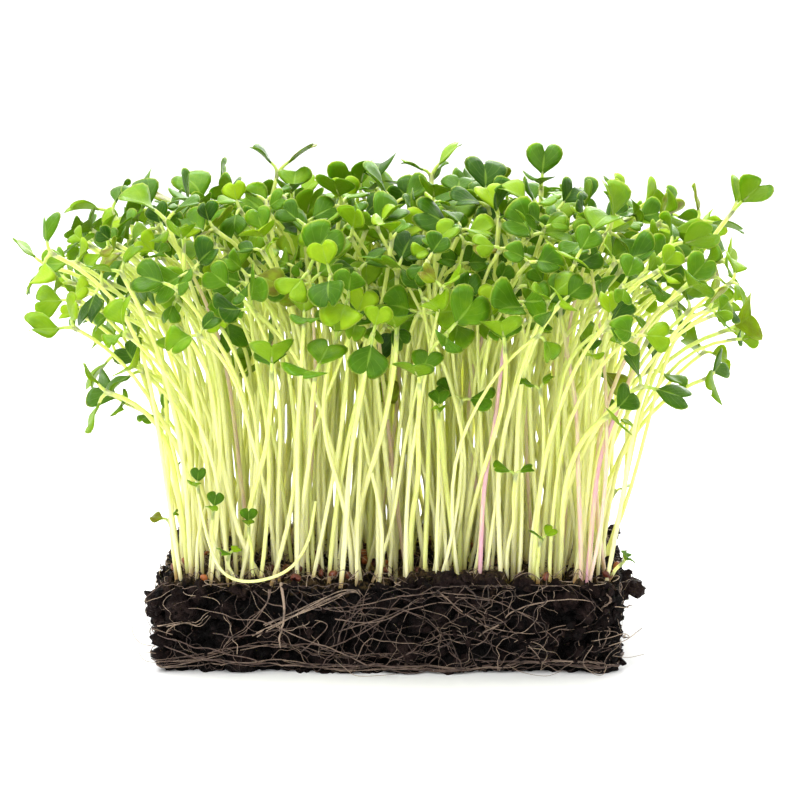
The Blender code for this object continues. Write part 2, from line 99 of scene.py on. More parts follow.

# Chunks of soil set one by one, each with its middle and its radius, in millimetres
CHUNKS = (
    ((-54, -43, 19), 3.6), ((-60, -41, 17), 3.0), ((-58, -42, 9), 3.0), ((14, -42, 25), 2.8),
    ((20, -41, 24.5), 3.0), ((9, -41, 24), 2.2), ((57, -24, 25), 2.2), ((52, -42, 22), 2.2),
    ((-40, -42, 22), 2.4), ((30, 43, 22), 3.2), ((-20, 43, 18), 3.0), ((-60, 18, 20), 3.2),
    ((60, 10, 12), 2.4), ((-8, 43, 25), 2.8),
)

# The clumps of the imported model
CLUMP_COLUMNS = 8
CLUMP_ROWS = 6
SPROUTS_IN_CLUMP = 2
CLUMP_EDGE = 6.5 * MM
CLUMP_SHIFT = 2.2 * MM
TAPROOT_DEPTH = 10.0 * MM
STEM_RADIUS = 0.82 * MM
STEM_TIP_RADIUS = 0.60 * MM
STEM_SEGMENTS = 4
STEM_BEND = math.radians(32)
STEM_EASE = 0.8
STEM_SPACING = 0.9 * MM
FOOT_DEPTH = 2.5 * MM

# The seed leaves
BLADE_LENGTH = 7.8 * MM
PETIOLE_LENGTH = 3.2 * MM
SMALLER_LEAF = 0.80
FOLD_ROUND = 0.6 * MM
EDGE_CURL = 0.25 * MM
KEEL_DEPTH = 0.28 * MM
KEEL_WIDTH = 0.45 * MM
BLADE_CURVE = ((0.0, 0.05), (0.10, 0.70), (1.45, 1.06), (0.84, 0.0))

# The dome that the seed leaves fill
CANOPY_TOP = 127.0 * MM
SIDE_DROP = 12.0 * MM
FRONT_DROP = 22.0 * MM
CANOPY_HALF_WIDTH = 92.0 * MM
CANOPY_HALF_DEPTH = 66.0 * MM
LOW_SHARE = 0.30
LOWEST_HEAD = 66.0 * MM
CLEARANCE = 0.42 * MM
LEAF_REACH = 0.85 * MM
STANDOUT_STEP = 0.12 * MM
SHARED_FOOT = 9 * MM
CANOPY_SLACK_DEPTH = 4 * MM
CANOPY_SLACK_TOP = 3 * MM
SAMPLE_STEP = 1.6 * MM
TRIES = 300

# The roots over the block's sides
ROOT_RADIUS = 0.42 * MM
ROOT_GAP = 0.45 * MM
ROOT_BAND_HEIGHT = 3.0 * MM
ROOT_THREADS = 11
ROOT_POINTS = 7

# Sprouts of the imported model that are listed: where they root, where the head is, the way the stem's
# tip points, the turn of the leaf pair in degrees, how far each leaf spreads from the stem, and their size.
# Lengths are in millimetres.
STANDOUTS = (
    ((-50, -8), (-91, -12, 102), (-1.0, 0.0, 0.20), -90, (28, 66), 1.00),
    ((-56, -24), (-73, -36, 72), (-1.0, -0.1, 0.25), 90, (78, 36), 1.00),
    ((-54, 4), (-80, 2, 108), (-0.8, 0.1, 0.5), 40, (60, 70), 1.10),
    ((-46, 22), (-76, 12, 114), (-0.5, 0.0, 0.8), 120, (50, 60), 1.10),
    ((-52, -20), (-64, -36, 78), (-0.6, -0.3, 0.6), 160, (50, 60), 1.10),
    ((52, 8), (90, 6, 115), (0.6, 0.0, 0.8), 20, (16, 34), 1.10),
    ((50, -16), (87, -18, 86), (1.0, -0.1, 0.3), -20, (44, 62), 1.20),
    ((46, 20), (80, 14, 110), (0.9, 0.0, 0.5), 70, (40, 70), 1.10),
    ((54, -30), (64, -43, 75), (0.7, -0.4, 0.45), 120, (50, 70), 1.15),
    ((38, -4), (39, -1, 122), (0.05, -0.1, 1.0), 80, (12, 60), 1.00),
    ((-28, 16), (-31, 12, 125), (0.30, 0.0, 1.0), -8, (34, 60), 1.10),
    ((8, 4), (10, 2, 125), (0.0, -0.1, 1.0), 12, (40, 62), 1.00),
    ((-38, -38), (-29, -56, 80), (0.0, -0.35, 1.0), 96, (20, 80), 1.10),
    ((-22, -38), (-18, -58, 80), (0.1, -0.4, 1.0), 60, (60, 70), 1.25),
    ((4, -38), (8, -58, 78), (0.0, -0.4, 1.0), 74, (36, 62), 1.05),
    ((24, -38), (29, -56, 87), (-0.1, -0.4, 1.0), 102, (24, 85), 1.10),
    ((-6, -26), (2, -50, 89), (0.0, -0.4, 1.0), 80, (30, 70), 1.00),
    ((-4, -16), (2, -44, 104), (0.0, -0.4, 1.0), 66, (50, 50), 1.30),
)

# How finely the pieces are meshed
STEM_SIDES = 8
STEM_RINGS = 13
PETIOLE_SIDES = 5
BLADE_ROWS = 11
BLADE_COLUMNS = 3
SOIL_CELL = 0.7 * MM

# Half of a seed leaf's outline, from the stalk round the lobe to the notch, as shares of the leaf's length
LOBE = ((0.0, 0.05), (0.12, 0.19), (0.30, 0.44), (0.50, 0.61), (0.71, 0.68), (0.90, 0.60), (1.01, 0.43),
        (1.04, 0.25), (0.98, 0.10), (0.84, 0.0))

# Roots that stand out on the front: radius, lightness, and places as x and z, all in millimetres
FRONT_ROOTS = (
    (0.40, 1.00, ((-28.6, 23.4), (-27.9, 17.0), (-28.4, 11.9), (-28.1, 6.7))),
    (0.28, 0.95, ((-35.3, 9.8), (-26.4, 14.4), (-15.0, 20.0), (-9.5, 22.1), (-7.6, 20.8))),
    (0.20, 0.85, ((-33.0, 12.6), (-24.0, 16.0), (-14.0, 20.6), (-9.0, 21.6))),
    (0.26, 0.75, ((-31.0, 23.0), (-32.2, 18.4), (-36.5, 13.6), (-40.3, 9.8), (-44.0, 5.5))),
    (0.26, 0.85, ((-59.0, 11.9), (-54.3, 12.9), (-50.5, 12.8), (-47.0, 15.0))),
    (0.18, 0.55, ((-46.0, 10.5), (-38.0, 9.6), (-29.0, 11.2), (-20.0, 11.9))),
    (0.22, 0.60, ((-60.0, 3.0), (-50.0, 3.8), (-40.0, 5.6), (-30.0, 7.4), (-22.0, 6.4), (-12.0, 4.8),
                  (0.0, 5.8))),
    (0.18, 0.70, ((-52.0, 3.4), (-42.0, 6.4), (-31.0, 6.8), (-20.0, 7.2), (-8.0, 4.6), (6.0, 4.0))),
    (0.16, 0.50, ((-14.0, 14.0), (-4.0, 13.4), (6.0, 17.0), (16.0, 18.4), (27.0, 15.0), (36.0, 9.0))),
    (0.16, 0.60, ((-12.0, 11.0), (0.0, 15.0), (10.0, 19.6), (20.0, 20.4), (30.0, 18.2), (40.0, 12.0),
                  (44.0, 7.0))),
    (0.15, 0.65, ((-10.0, 17.0), (2.0, 20.0), (14.0, 21.5), (26.0, 19.6), (38.0, 14.4))),
    (0.18, 0.60, ((22.9, 8.8), (33.1, 16.3), (43.2, 20.0), (53.3, 18.8), (58.0, 15.0))),
    (0.16, 0.55, ((-18.0, 6.0), (-9.0, 9.4), (-2.0, 13.6), (1.0, 18.0), (4.0, 21.0))),
    (0.17, 0.70, ((12.0, 22.4), (18.0, 17.0), (26.0, 12.4), (37.0, 10.6), (47.0, 12.6))),
    (0.22, 0.80, ((57.0, 23.0), (56.2, 18.0), (57.4, 9.8), (56.0, 4.0))),
    (0.17, 0.50, ((-20.0, 17.4), (-12.0, 16.0), (-3.0, 17.6), (8.0, 14.6), (15.0, 9.0), (18.0, 4.0))),
    (0.15, 0.75, ((-24.0, 5.0), (-19.0, 9.0), (-16.5, 12.0), (-18.5, 13.4), (-21.0, 11.0), (-19.5, 8.0))),
    (0.15, 0.60, ((2.0, 4.4), (9.0, 8.0), (17.0, 10.0), (26.0, 8.0), (34.0, 4.6), (44.0, 3.6))),
)

# Front roots between these radii, in millimetres, are bundles of strands
BUNDLE_LEAST = 0.19
BUNDLE_MOST = 0.35
BUNDLE_STRANDS = 3

# Fine roots that stand clear of the soil, in the same way but with places as x, y and z
LOOSE_ROOTS = (
    (0.09, 0.9, ((-60, -41, 17), (-64.5, -41, 14.5), (-66, -42, 11), (-64, -43, 8), (-60, -43, 7))),
    (0.07, 0.8, ((-60, -42, 5), (-64, -43, 5.5), (-62.5, -44, 3.5), (-59, -44, 3))),
    (0.10, 0.8, ((56, -44.5, 8.0), (60.5, -44, 9.6), (64.5, -43, 12.4))),
    (0.07, 0.7, ((57, -44.5, 5.5), (61, -45, 5.2), (65, -44, 5.8))),
    (0.08, 0.8, ((52, -44, 8), (49.5, -45.5, 4), (52, -46, 1.2), (54.5, -45.5, 0.8), (55.5, -45, 3))),
    (0.08, 0.8, ((-14, -44, 4), (-11, -46, 2.0), (-8.5, -47, 0.6), (-4, -47, 0.5), (2, -46, 0.8))),
    (0.07, 0.7, ((30, -44, 3), (34, -46, 1.4), (40, -46.5, 0.6), (44, -45, 1.6))),
    (0.08, 0.8, ((61, 10, 12), (65, 14, 10), (65.5, 20, 7), (61, 24, 6))),
    (0.08, 0.8, ((-20, 44, 14), (-16, 47.5, 11), (-9, 47.5, 8), (-4, 44, 8))),
    (0.08, 0.8, ((-60, 22, 8), (-64.5, 16, 9), (-65, 8, 6), (-60, 3, 6))),
)

# The share of the seed leaves that have turned brown, and how far above 1 their tint is
BROWN_SHARE = 0.035
BROWN_TINT = 0.5

# The values that each point of a piece carries for its material
VALUES = ("run", "across", "tint", "upper")


# Where the soil is

def soil_half_sizes(z):
    """Half the block's width and depth at a height, without its relief."""
    inset = SIDE_DRAFT * (1 - min(max(z / BLOCK_HEIGHT, 0), 1))
    return BLOCK_WIDTH / 2 - inset, BLOCK_DEPTH / 2 - inset


def soil_top(x, y):
    """The height of the block's lumpy top."""
    lumps = noise.noise(Vector((x / (15 * MM), y / (15 * MM), 3.7)))
    grains = noise.noise(Vector((x / (6 * MM), y / (6 * MM), 9.1)))
    return BLOCK_HEIGHT + TOP_RELIEF * (0.75 * lumps + 0.35 * grains)


def soil_relief(point, normal):
    """How far the crumbling soil stands out of the plain block at a point of its skin."""
    spot = point / DENT_SIZE
    level = 1.0 - abs(normal.z)
    dent = max(0.0, 0.35 + noise.noise(spot * 0.8 + Vector((4, 1, 7))))
    relief = -level * SIDE_DENT * dent * min(1.0, point.z / FOOT_FADE)
    for place, size, swell in SWELLS:
        gap = (point - Vector(place) * MM).length / (size * MM)
        relief += swell * MM * math.exp(-gap * gap)
    relief += max(normal.z, 0.0) * (soil_top(point.x, point.y) - BLOCK_HEIGHT)
    for size, start, step, cleft in CLODS:
        spans, middles = noise.voronoi(point / (size * MM) + Vector((start, 3, 1)))
        relief += step * MM * (0.45 - spans[0] + 0.9 * noise.noise(middles[0] * 3.7))
        relief -= cleft * MM * max(0.0, 1 - (spans[1] - spans[0]) / CLEFT_SHARE)
    relief -= HOLLOW_DEPTH * max(0.0, noise.noise(spot * 1.9 + Vector((2, 8, 5))) - 0.10)
    relief += GRAIN_DEPTH * noise.noise(point / GRAIN_SIZE)
    return max(LOWEST_RELIEF, min(relief, HIGHEST_RELIEF))


# The sprouts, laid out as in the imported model

def blade_margin(t):
    """One half of a notched seed leaf's edge, from the petiole at t 0 to the notch at t 1.

    It returns how far along the leaf and how far across it the edge is, as shares of the leaf's length.
    """
    u = 1 - t
    weights = (u**3, 3 * u * u * t, 3 * u * t * t, t**3)
    along = sum(w * p[0] for w, p in zip(weights, BLADE_CURVE))
    across = sum(w * p[1] for w, p in zip(weights, BLADE_CURVE))
    return along, across


class Leaf:
    """One notched seed leaf: a frame at the stem's head, a size, a fold along the rib and a droop."""

    def __init__(self, head, tangent, side, spread, size, fold, droop):
        self.root = head
        self.tangent = tangent
        self.out = (tangent * math.cos(spread) + side * math.sin(spread)).normalized()
        self.face = (tangent * math.sin(spread) - side * math.cos(spread)).normalized()
        self.wide = self.face.cross(self.out)
        self.length = BLADE_LENGTH * size
        self.petiole = PETIOLE_LENGTH * size
        self.fold = fold
        self.droop = droop

    def place(self, along, across):
        """A point of the leaf. along is measured from the stem's head and across from the rib."""
        past = max(along - self.petiole, 0.0)
        height = self.fold * (math.hypot(across, FOLD_ROUND) - FOLD_ROUND)
        height -= self.droop * past * past / self.length
        return self.root + self.out * along + self.wide * across + self.face * height

    def samples(self):
        """Points spread over the leaf, each with the radius it needs kept clear."""
        found = []
        for t in (0.15, 0.3, 0.45, 0.6, 0.75, 0.9):
            along, across = blade_margin(t)
            for share in (-1.0, -0.67, -0.33, 0.0, 0.33, 0.67, 1.0):
                rib = 0.84 * t
                reach = rib + (along - rib) * abs(share)
                point = self.place(self.petiole + reach * self.length, share * across * self.length)
                found.append((point, LEAF_REACH))
        return found


class Sprout:
    """A stem on a smooth curve from its foot to its head, with two seed leaves."""

    def __init__(self, foot, head, lean, turn, spreads, size, folds, droops):
        self.size = size
        self.girth = 1.0
        self.blush = 0.0
        self.depth = TAPROOT_DEPTH
        self.head = head
        rise = head.z - foot.z
        tip = lean.normalized()
        bow = Vector(((head.x - foot.x) * 0.10, (head.y - foot.y) * 0.10, rise * 0.46))
        self.controls = (foot, foot + bow, head - tip * (rise * 0.40), head)
        upright = Vector((0, 0, 1)) if abs(tip.z) < 0.95 else Vector((0, -1, 0))
        first = tip.cross(upright).normalized()
        second = tip.cross(first)
        side = first * math.cos(turn) + second * math.sin(turn)
        self.leaves = (
            Leaf(head, tip, side, spreads[0], size, folds[0], droops[0]),
            Leaf(head, tip, -side, spreads[1], size * SMALLER_LEAF, folds[1], droops[1]),
        )

    def point(self, t):
        """The stem's middle line at a share of its length."""
        a, b, c, d = self.controls
        u = 1 - t
        return a * u**3 + b * (3 * u * u * t) + c * (3 * u * t * t) + d * t**3

    def radius(self, t):
        """The stem's radius at a share of its length."""
        return (STEM_RADIUS + (STEM_TIP_RADIUS - STEM_RADIUS) * t) * self.girth

    def steps(self):
        """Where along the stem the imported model's straight pieces meet."""
        bend = (self.controls[1] - self.controls[0]).angle(self.controls[3] - self.controls[2])
        count = STEM_SEGMENTS + int(bend / STEM_BEND)
        return [(i / count) ** STEM_EASE for i in range(count + 1)]

    def stem_samples(self):
        """Points along the stem, above the soil, with the radius each needs."""
        count = max(8, int((self.head.z - self.controls[0].z) / SAMPLE_STEP))
        found = [(self.point(i / count), self.radius(i / count)) for i in range(count + 1)]
        corners = [self.point(t) for t in self.steps()]
        return found + [((a + b) / 2, STEM_RADIUS) for a, b in zip(corners, corners[1:])]


class Space:
    """What is already taken, kept in cells, so that a new sprout can be tested against its neighbours."""

    CELL = 3.2 * MM

    def __init__(self):
        self.cells = {}

    def key(self, point):
        """The cell that holds a point."""
        return tuple(int(math.floor(c / self.CELL)) for c in point)

    def add(self, samples, owner):
        """Takes up the room of a sprout."""
        for point, radius in samples:
            self.cells.setdefault(self.key(point), []).append((point, radius, owner))

    def is_free(self, samples, owner, ease=1.0):
        """True where every point keeps clear of what is there, apart from the owner's own foot."""
        for point, radius in samples:
            near_foot = point.z < BLOCK_HEIGHT + SHARED_FOOT
            kx, ky, kz = self.key(point)
            for x in (kx - 1, kx, kx + 1):
                for y in (ky - 1, ky, ky + 1):
                    for z in (kz - 1, kz, kz + 1):
                        for other, other_radius, other_owner in self.cells.get((x, y, z), ()):
                            if near_foot and other_owner == owner:
                                continue
                            if (point - other).length < (radius + other_radius + CLEARANCE) * ease:
                                return False
        return True

    def room_for(self, sprout, owner, fits, ease=1.0):
        """The sprout's samples where it fits and crosses nothing, or None. The leaves are tried first."""
        leaves = sprout.leaves[0].samples() + sprout.leaves[1].samples()
        if not fits(leaves) or not self.is_free(leaves, owner, ease):
            return None
        stem = sprout.stem_samples()
        if not fits(stem) or not self.is_free(stem, owner, ease):
            return None
        return stem + leaves


def canopy_height(x, y):
    """The top of the dome of leaves over a point of the plan."""
    across = SIDE_DROP * min(abs(x) / CANOPY_HALF_WIDTH, 1.1) ** 3
    deep = FRONT_DROP * min(abs(y) / CANOPY_HALF_DEPTH, 1.1) ** 3
    return CANOPY_TOP - max(across, deep)


def fits_canopy(samples):
    """True where a sprout stays inside the dome."""
    for point, _ in samples:
        if abs(point.x) > CANOPY_HALF_WIDTH or abs(point.y) > CANOPY_HALF_DEPTH + CANOPY_SLACK_DEPTH:
            return False
        if point.z > canopy_height(point.x, point.y) + CANOPY_SLACK_TOP:
            return False
    return True


def random_sprout(foot, crowding, rng):
    """A sprout on a foot, leaning out of the stand the more the nearer it is to the edge.

    crowding, from 0 to 1, lowers the head and spreads it wider, for a foot whose first places are taken.
    """
    u = foot.x / (BLOCK_WIDTH / 2)
    v = foot.y / (BLOCK_DEPTH / 2)
    wander = (5.5 + 5 * crowding) * MM
    x = foot.x * (1 + 0.52 * abs(u) ** 1.5) + rng.gauss(0, wander)
    y = foot.y * (1 + 0.42 * abs(v) ** 1.6) + rng.gauss(0, wander)
    edge = max(abs(u), abs(v))
    top = canopy_height(x, y) - 6 * MM - abs(rng.gauss(0, (8 + 14 * crowding) * MM))
    if rng.random() < LOW_SHARE * (0.4 + edge):
        top = rng.uniform(LOWEST_HEAD, top)
    head = Vector((x, y, top))
    out = head - foot
    lean = Vector((out.x * 1.7, out.y * 1.5, 0.52 * out.z))
    lean += Vector((rng.gauss(0, 9 * MM), rng.gauss(-14 * MM, 12 * MM), 0))
    spreads = (math.radians(rng.uniform(24, 78)), math.radians(rng.uniform(30, 84)))
    folds = (rng.uniform(-0.1, 0.5), rng.uniform(-0.1, 0.5))
    droops = (rng.uniform(-0.05, 0.3), rng.uniform(-0.05, 0.3))
    turn = rng.uniform(0, 2 * math.pi)
    return Sprout(foot, head, lean, turn, spreads, rng.uniform(0.78, 1.15), folds, droops)


def standout_sprout(foot, row, shift):
    """A listed sprout, with its head shifted a little."""
    _, head, lean, turn, spreads, size = row
    head = Vector(head) * MM + shift
    angles = tuple(math.radians(s) for s in spreads)
    return Sprout(foot, head, Vector(lean), math.radians(turn), angles, size, (0.16, 0.2), (0.1, 0.1))


def clump_centres(rng):
    """The middles of the clumps' holes: rows that are set out like bricks, each shifted a little."""
    width = BLOCK_WIDTH - 2 * CLUMP_EDGE
    depth = BLOCK_DEPTH - 2 * CLUMP_EDGE
    centres = []
    for row in range(CLUMP_ROWS):
        for column in range(CLUMP_COLUMNS):
            brick = 0.25 if row % 2 else -0.25
            x = ((column + 0.5 + brick) / CLUMP_COLUMNS - 0.5) * width + rng.uniform(-1, 1) * CLUMP_SHIFT
            y = ((row + 0.5) / CLUMP_ROWS - 0.5) * depth + rng.uniform(-1, 1) * CLUMP_SHIFT
            centres.append(Vector((x, y, 0)))
    return centres


def stem_foot(centre, slot, angle):
    """Where one of a clump's stems starts, inside the shared taproot."""
    turn = angle + slot * 2 * math.pi / SPROUTS_IN_CLUMP
    x = centre.x + STEM_SPACING * math.cos(turn)
    y = centre.y + STEM_SPACING * math.sin(turn)
    return Vector((x, y, soil_top(centre.x, centre.y) - FOOT_DEPTH))


def place_standout(row, clumps, angles, space, rng):
    """The listed sprout, on a clump near its place, with its head shifted until it crosses nothing."""
    hint = Vector((row[0][0] * MM, row[0][1] * MM, 0))
    open_clumps = [i for i, clump in enumerate(clumps) if len(clump[1]) < SPROUTS_IN_CLUMP]
    nearest = sorted(open_clumps, key=lambda i: (clumps[i][0] - hint).length)[:5]
    for attempt in range(TRIES // 4):
        shift = Vector([rng.gauss(0, attempt * STANDOUT_STEP) for _ in range(3)])
        for index in nearest:
            centre, sprouts = clumps[index]
            sprout = standout_sprout(stem_foot(centre, len(sprouts), angles[index]), row, shift)
            samples = space.room_for(sprout, index, lambda points: True)
            if samples:
                space.add(samples, index)
                return index, sprout
    raise ValueError(f"No room for the sprout at {row[1]}")


def next_free_sprout(foot, owner, space, rng):
    """The first of a run of random sprouts that crosses nothing, or None."""
    for attempt in range(TRIES):
        sprout = random_sprout(foot, attempt / TRIES, rng)
        samples = space.room_for(sprout, owner, fits_canopy)
        if samples:
            space.add(samples, owner)
            return sprout
    return None


@functools.cache
def plan_clumps():
    """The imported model's clumps, each the middle of its hole and its sprouts, and the space they take."""
    rng = random.Random(SEED)
    centres = clump_centres(rng)
    angles = [rng.uniform(0, math.pi) for _ in centres]
    clumps = [(centre, []) for centre in centres]
    space = Space()
    for row in STANDOUTS:
        index, sprout = place_standout(row, clumps, angles, space, rng)
        clumps[index][1].append(sprout)
    for index, (centre, sprouts) in enumerate(clumps):
        while len(sprouts) < SPROUTS_IN_CLUMP:
            foot = stem_foot(centre, len(sprouts), angles[index])
            sprout = next_free_sprout(foot, index, space, rng)
            if sprout is None:
                break
            sprouts.append(sprout)
    return clumps, space


# The sprouts between the clumps. An ease is the share of the usual distance that a run of tries keeps.

FILL_ZONES = 16
SINGLE_TRIES = 60
SINGLE_EASE = 0.4
FIRST_SINGLE = 1000
FILL_TOP_GAP = 8 * MM
FILL_LOW_TOP = 100 * MM
FILL_EDGE = 5 * MM
FILL_SPACING = 2.8 * MM
FILL_EASES = (0.75, 0.5, 0.35)
FILL_TRIES = 45
FILL_LOW_SHARE = 0.06
FILL_LOWEST = 90.0 * MM
FILL_REACH = ((-101.4 * MM, 103.3 * MM), (-74.1 * MM, 63.5 * MM))
SINGLE_DEPTH = 5.0 * MM

# Single sprouts that stand out, as in STANDOUTS, each with how purple its stem is
STRAGGLERS = (
    ((54, -24), (89, -21, 84), (1.0, -0.1, 0.1), 0, (10, 70), 0.55, 0.0),
    ((12, -38), (12.5, -42, 68), (0.0, -0.3, 1.0), 90, (40, 50), 0.50, 0.0),
    ((30, -36), (32, -41, 52), (0.0, -0.4, 1.0), 10, (60, 70), 0.55, 0.0),
    ((-44, -37), (-45, -42, 42), (0.1, -0.3, 1.0), 80, (20, 40), 0.45, 0.0),
    ((-50, -34), (-49, -40, 48), (-0.1, -0.3, 1.0), 70, (20, 40), 0.45, 0.0),
    ((50, -34), (51, -40, 82), (0.1, -0.5, 1.0), 80, (50, 60), 0.60, 0.0),
    ((36, -36), (38, -41, 74), (-0.2, -0.3, 1.0), 60, (50, 60), 0.55, 0.0),
    ((-54, -20), (-65, -24, 76), (-0.9, -0.3, 0.4), 90, (50, 60), 0.95, 0.0),
    ((-56, -14), (-60, -20, 64), (-0.5, -0.5, 0.6), 80, (50, 60), 0.60, 0.0),
    ((-54, -2), (-69, -14, 84), (-0.9, -0.2, 0.5), 60, (40, 60), 0.95, 0.0),
    ((52, -10), (68, -20, 76), (0.8, -0.3, 0.5), 80, (50, 60), 0.85, 0.0),
    ((54, -18), (61, -22, 67), (0.6, -0.4, 0.6), 70, (50, 60), 0.50, 0.0),
    ((-24, -36), (-17, -50, 89), (0.1, -0.4, 1.0), 84, (60, 70), 0.95, 0.0),
    ((23, -38.5), (30, -38, 98), (0.1, 0.0, 1.0), 40, (50, 60), 0.80, 1.0),
    ((49, -38.5), (43, -37, 94), (-0.2, 0.0, 1.0), 20, (50, 60), 0.80, 0.8),
    ((50.5, -38), (66, -34, 86), (0.5, 0.0, 1.0), 60, (50, 60), 0.85, 1.0),
)

# Small seedlings low among the stems, in the same way
SEEDLINGS = (
    ((-40, -37), (-41, -41, 31), (0.3, -0.4, 1.0), 20, (60, 75), 0.42, 0.0),
    ((-35, -37), (-36, -41, 38), (0.0, -0.3, 1.0), 90, (15, 30), 0.42, 0.0),
    ((38, -38), (39, -41, 35), (0.4, -0.3, 1.0), 0, (60, 40), 0.50, 0.0),
    ((56, -34), (58, -38, 31), (0.6, -0.3, 1.0), 30, (50, 70), 0.38, 0.0),
    ((-56, -22), (-58, -26, 37), (-0.4, -0.3, 1.0), 40, (60, 60), 0.42, 0.0),
    ((-6, 38), (-5, 42, 36), (0.2, 0.3, 1.0), 60, (50, 60), 0.42, 0.0),
    ((34, 37), (36, 41, 44), (0.1, 0.3, 1.0), 20, (50, 60), 0.45, 0.0),
    ((56, 14), (60, 15, 38), (0.5, 0.1, 1.0), 80, (40, 60), 0.42, 0.0),
    ((-56, 20), (-60, 22, 42), (-0.5, 0.1, 1.0), 30, (50, 60), 0.45, 0.0),
)

# A fallen stem that loops over the soil at the front left
FALLEN_STEM = (
    (-49, -40, 46), (-46, -43, 34), (-42, -46, 26.8), (-35, -46.5, 24.8), (-26, -46, 27.6), (-21, -42, 34),
    (-19, -38, 44),
)
FALLEN_STEM_RADIUS = 0.42 * MM


def fill_feet(count, clumps, rng):
    """Feet for single sprouts, spread over the block's top and clear of the clumps."""
    feet = []
    taken = [Vector((c.x, c.y, 0)) for c, _ in clumps]
    half_width, half_depth = soil_half_sizes(BLOCK_HEIGHT)
    spacing = FILL_SPACING
    while len(feet) < count:
        for _ in range(400):
            x = rng.uniform(-1, 1) * (half_width - FILL_EDGE)
            spot = Vector((x, rng.uniform(-1, 1) * (half_depth - FILL_EDGE), 0))
            if all((spot - other).length > spacing for other in taken):
                feet.append(spot)
                taken.append(spot)
                break
        else:
            spacing *= 0.9
    return [Vector((f.x, f.y, soil_top(f.x, f.y) - FOOT_DEPTH)) for f in feet]


def fill_sprout(foot, crowding, rng):
    """A single sprout on a foot: thinner than those of the clumps, with a head that nods out of the stand."""
    u = foot.x / (BLOCK_WIDTH / 2)
    v = foot.y / (BLOCK_DEPTH / 2)
    wander = (10 + 6 * crowding) * MM
    x = foot.x * (1 + (0.32 if u > 0 else 0.50) * abs(u) ** 1.4) + rng.gauss(0, wander)
    y = foot.y * (1 + 0.40 * abs(v) ** 1.5) + rng.gauss(0, wander)
    top = canopy_height(x, y) - FILL_TOP_GAP - abs(rng.gauss(0, (9 + 12 * crowding) * MM))
    if rng.random() < FILL_LOW_SHARE * (0.4 + max(abs(u), abs(v))):
        top = min(top, FILL_LOW_TOP)
    top = max(top, FILL_LOWEST)
    head = Vector((x, y, top))
    out = head - foot
    lean = Vector((out.x * 1.6, out.y * 1.4, 0.52 * out.z))
    away = Vector((x / CANOPY_HALF_WIDTH, y / CANOPY_HALF_DEPTH - 0.25, 0))
    lean += away.normalized() * rng.uniform(0, 75) * MM * min(1.0, 0.35 + away.length)
    lean += Vector((rng.gauss(0, 12), rng.gauss(-6, 12), 0)) * MM
    spreads = (math.radians(rng.uniform(30, 86)), math.radians(rng.uniform(36, 88)))
    folds = (rng.uniform(-0.35, 0.85), rng.uniform(-0.35, 0.85))
    droops = (rng.uniform(-0.25, 0.55), rng.uniform(-0.25, 0.55))
    turn = rng.uniform(0, 2 * math.pi)
    sprout = Sprout(foot, head, lean, turn, spreads, rng.uniform(0.62, 1.18), folds, droops)
    sprout.controls[1].xy += Vector((rng.gauss(0, 6), rng.gauss(0, 5))) * MM
    sprout.girth = rng.uniform(0.62, 0.92)
    sprout.blush = 0.7 if rng.random() < 0.02 else 0.0
    sprout.depth = SINGLE_DEPTH
    return sprout


def fits_packed(samples):
    """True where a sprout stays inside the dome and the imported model's reach."""
    for point, _ in samples:
        if not all(low < c < high for c, (low, high) in zip(point, FILL_REACH)):
            return False
    return fits_canopy(samples)


def place_singles(rows, sprouts, space, rng):
    """Adds the sprouts of a table, each moved a little until it crosses nothing."""
    for row in rows:
        x, y = row[0][0] * MM, row[0][1] * MM
        foot = Vector((x, y, soil_top(x, y) - FOOT_DEPTH))
        for attempt in range(SINGLE_TRIES):
            shift = Vector([rng.gauss(0, attempt * STANDOUT_STEP) for _ in range(3)])
            sprout = standout_sprout(foot, row[:6], shift)
            owner = FIRST_SINGLE + len(sprouts)
            samples = space.room_for(sprout, owner, lambda points: True, SINGLE_EASE)
            if samples:
                space.add(samples, owner)
                sprout.girth, sprout.blush, sprout.depth = 0.55 + 0.3 * row[5], row[6], SINGLE_DEPTH
                sprouts.append(sprout)
                break


@functools.cache
def plan_fill(count):
    """Single sprouts between the clumps, each set where it crosses nothing."""
    clumps, space = plan_clumps()
    rng = random.Random(SEED + 7)
    sprouts = []
    place_singles(STRAGGLERS, sprouts, space, rng)
    for foot in fill_feet(count, clumps, rng):
        owner = FIRST_SINGLE + len(sprouts)
        for attempt in range(FILL_TRIES * len(FILL_EASES)):
            ease = FILL_EASES[attempt // FILL_TRIES]
            sprout = fill_sprout(foot, (attempt % FILL_TRIES) / FILL_TRIES, rng)
            samples = space.room_for(sprout, owner, fits_packed, ease)
            if samples:
                space.add(samples, owner)
                sprouts.append(sprout)
                break
    place_singles(SEEDLINGS, sprouts, space, rng)
    return sprouts


# Shapes

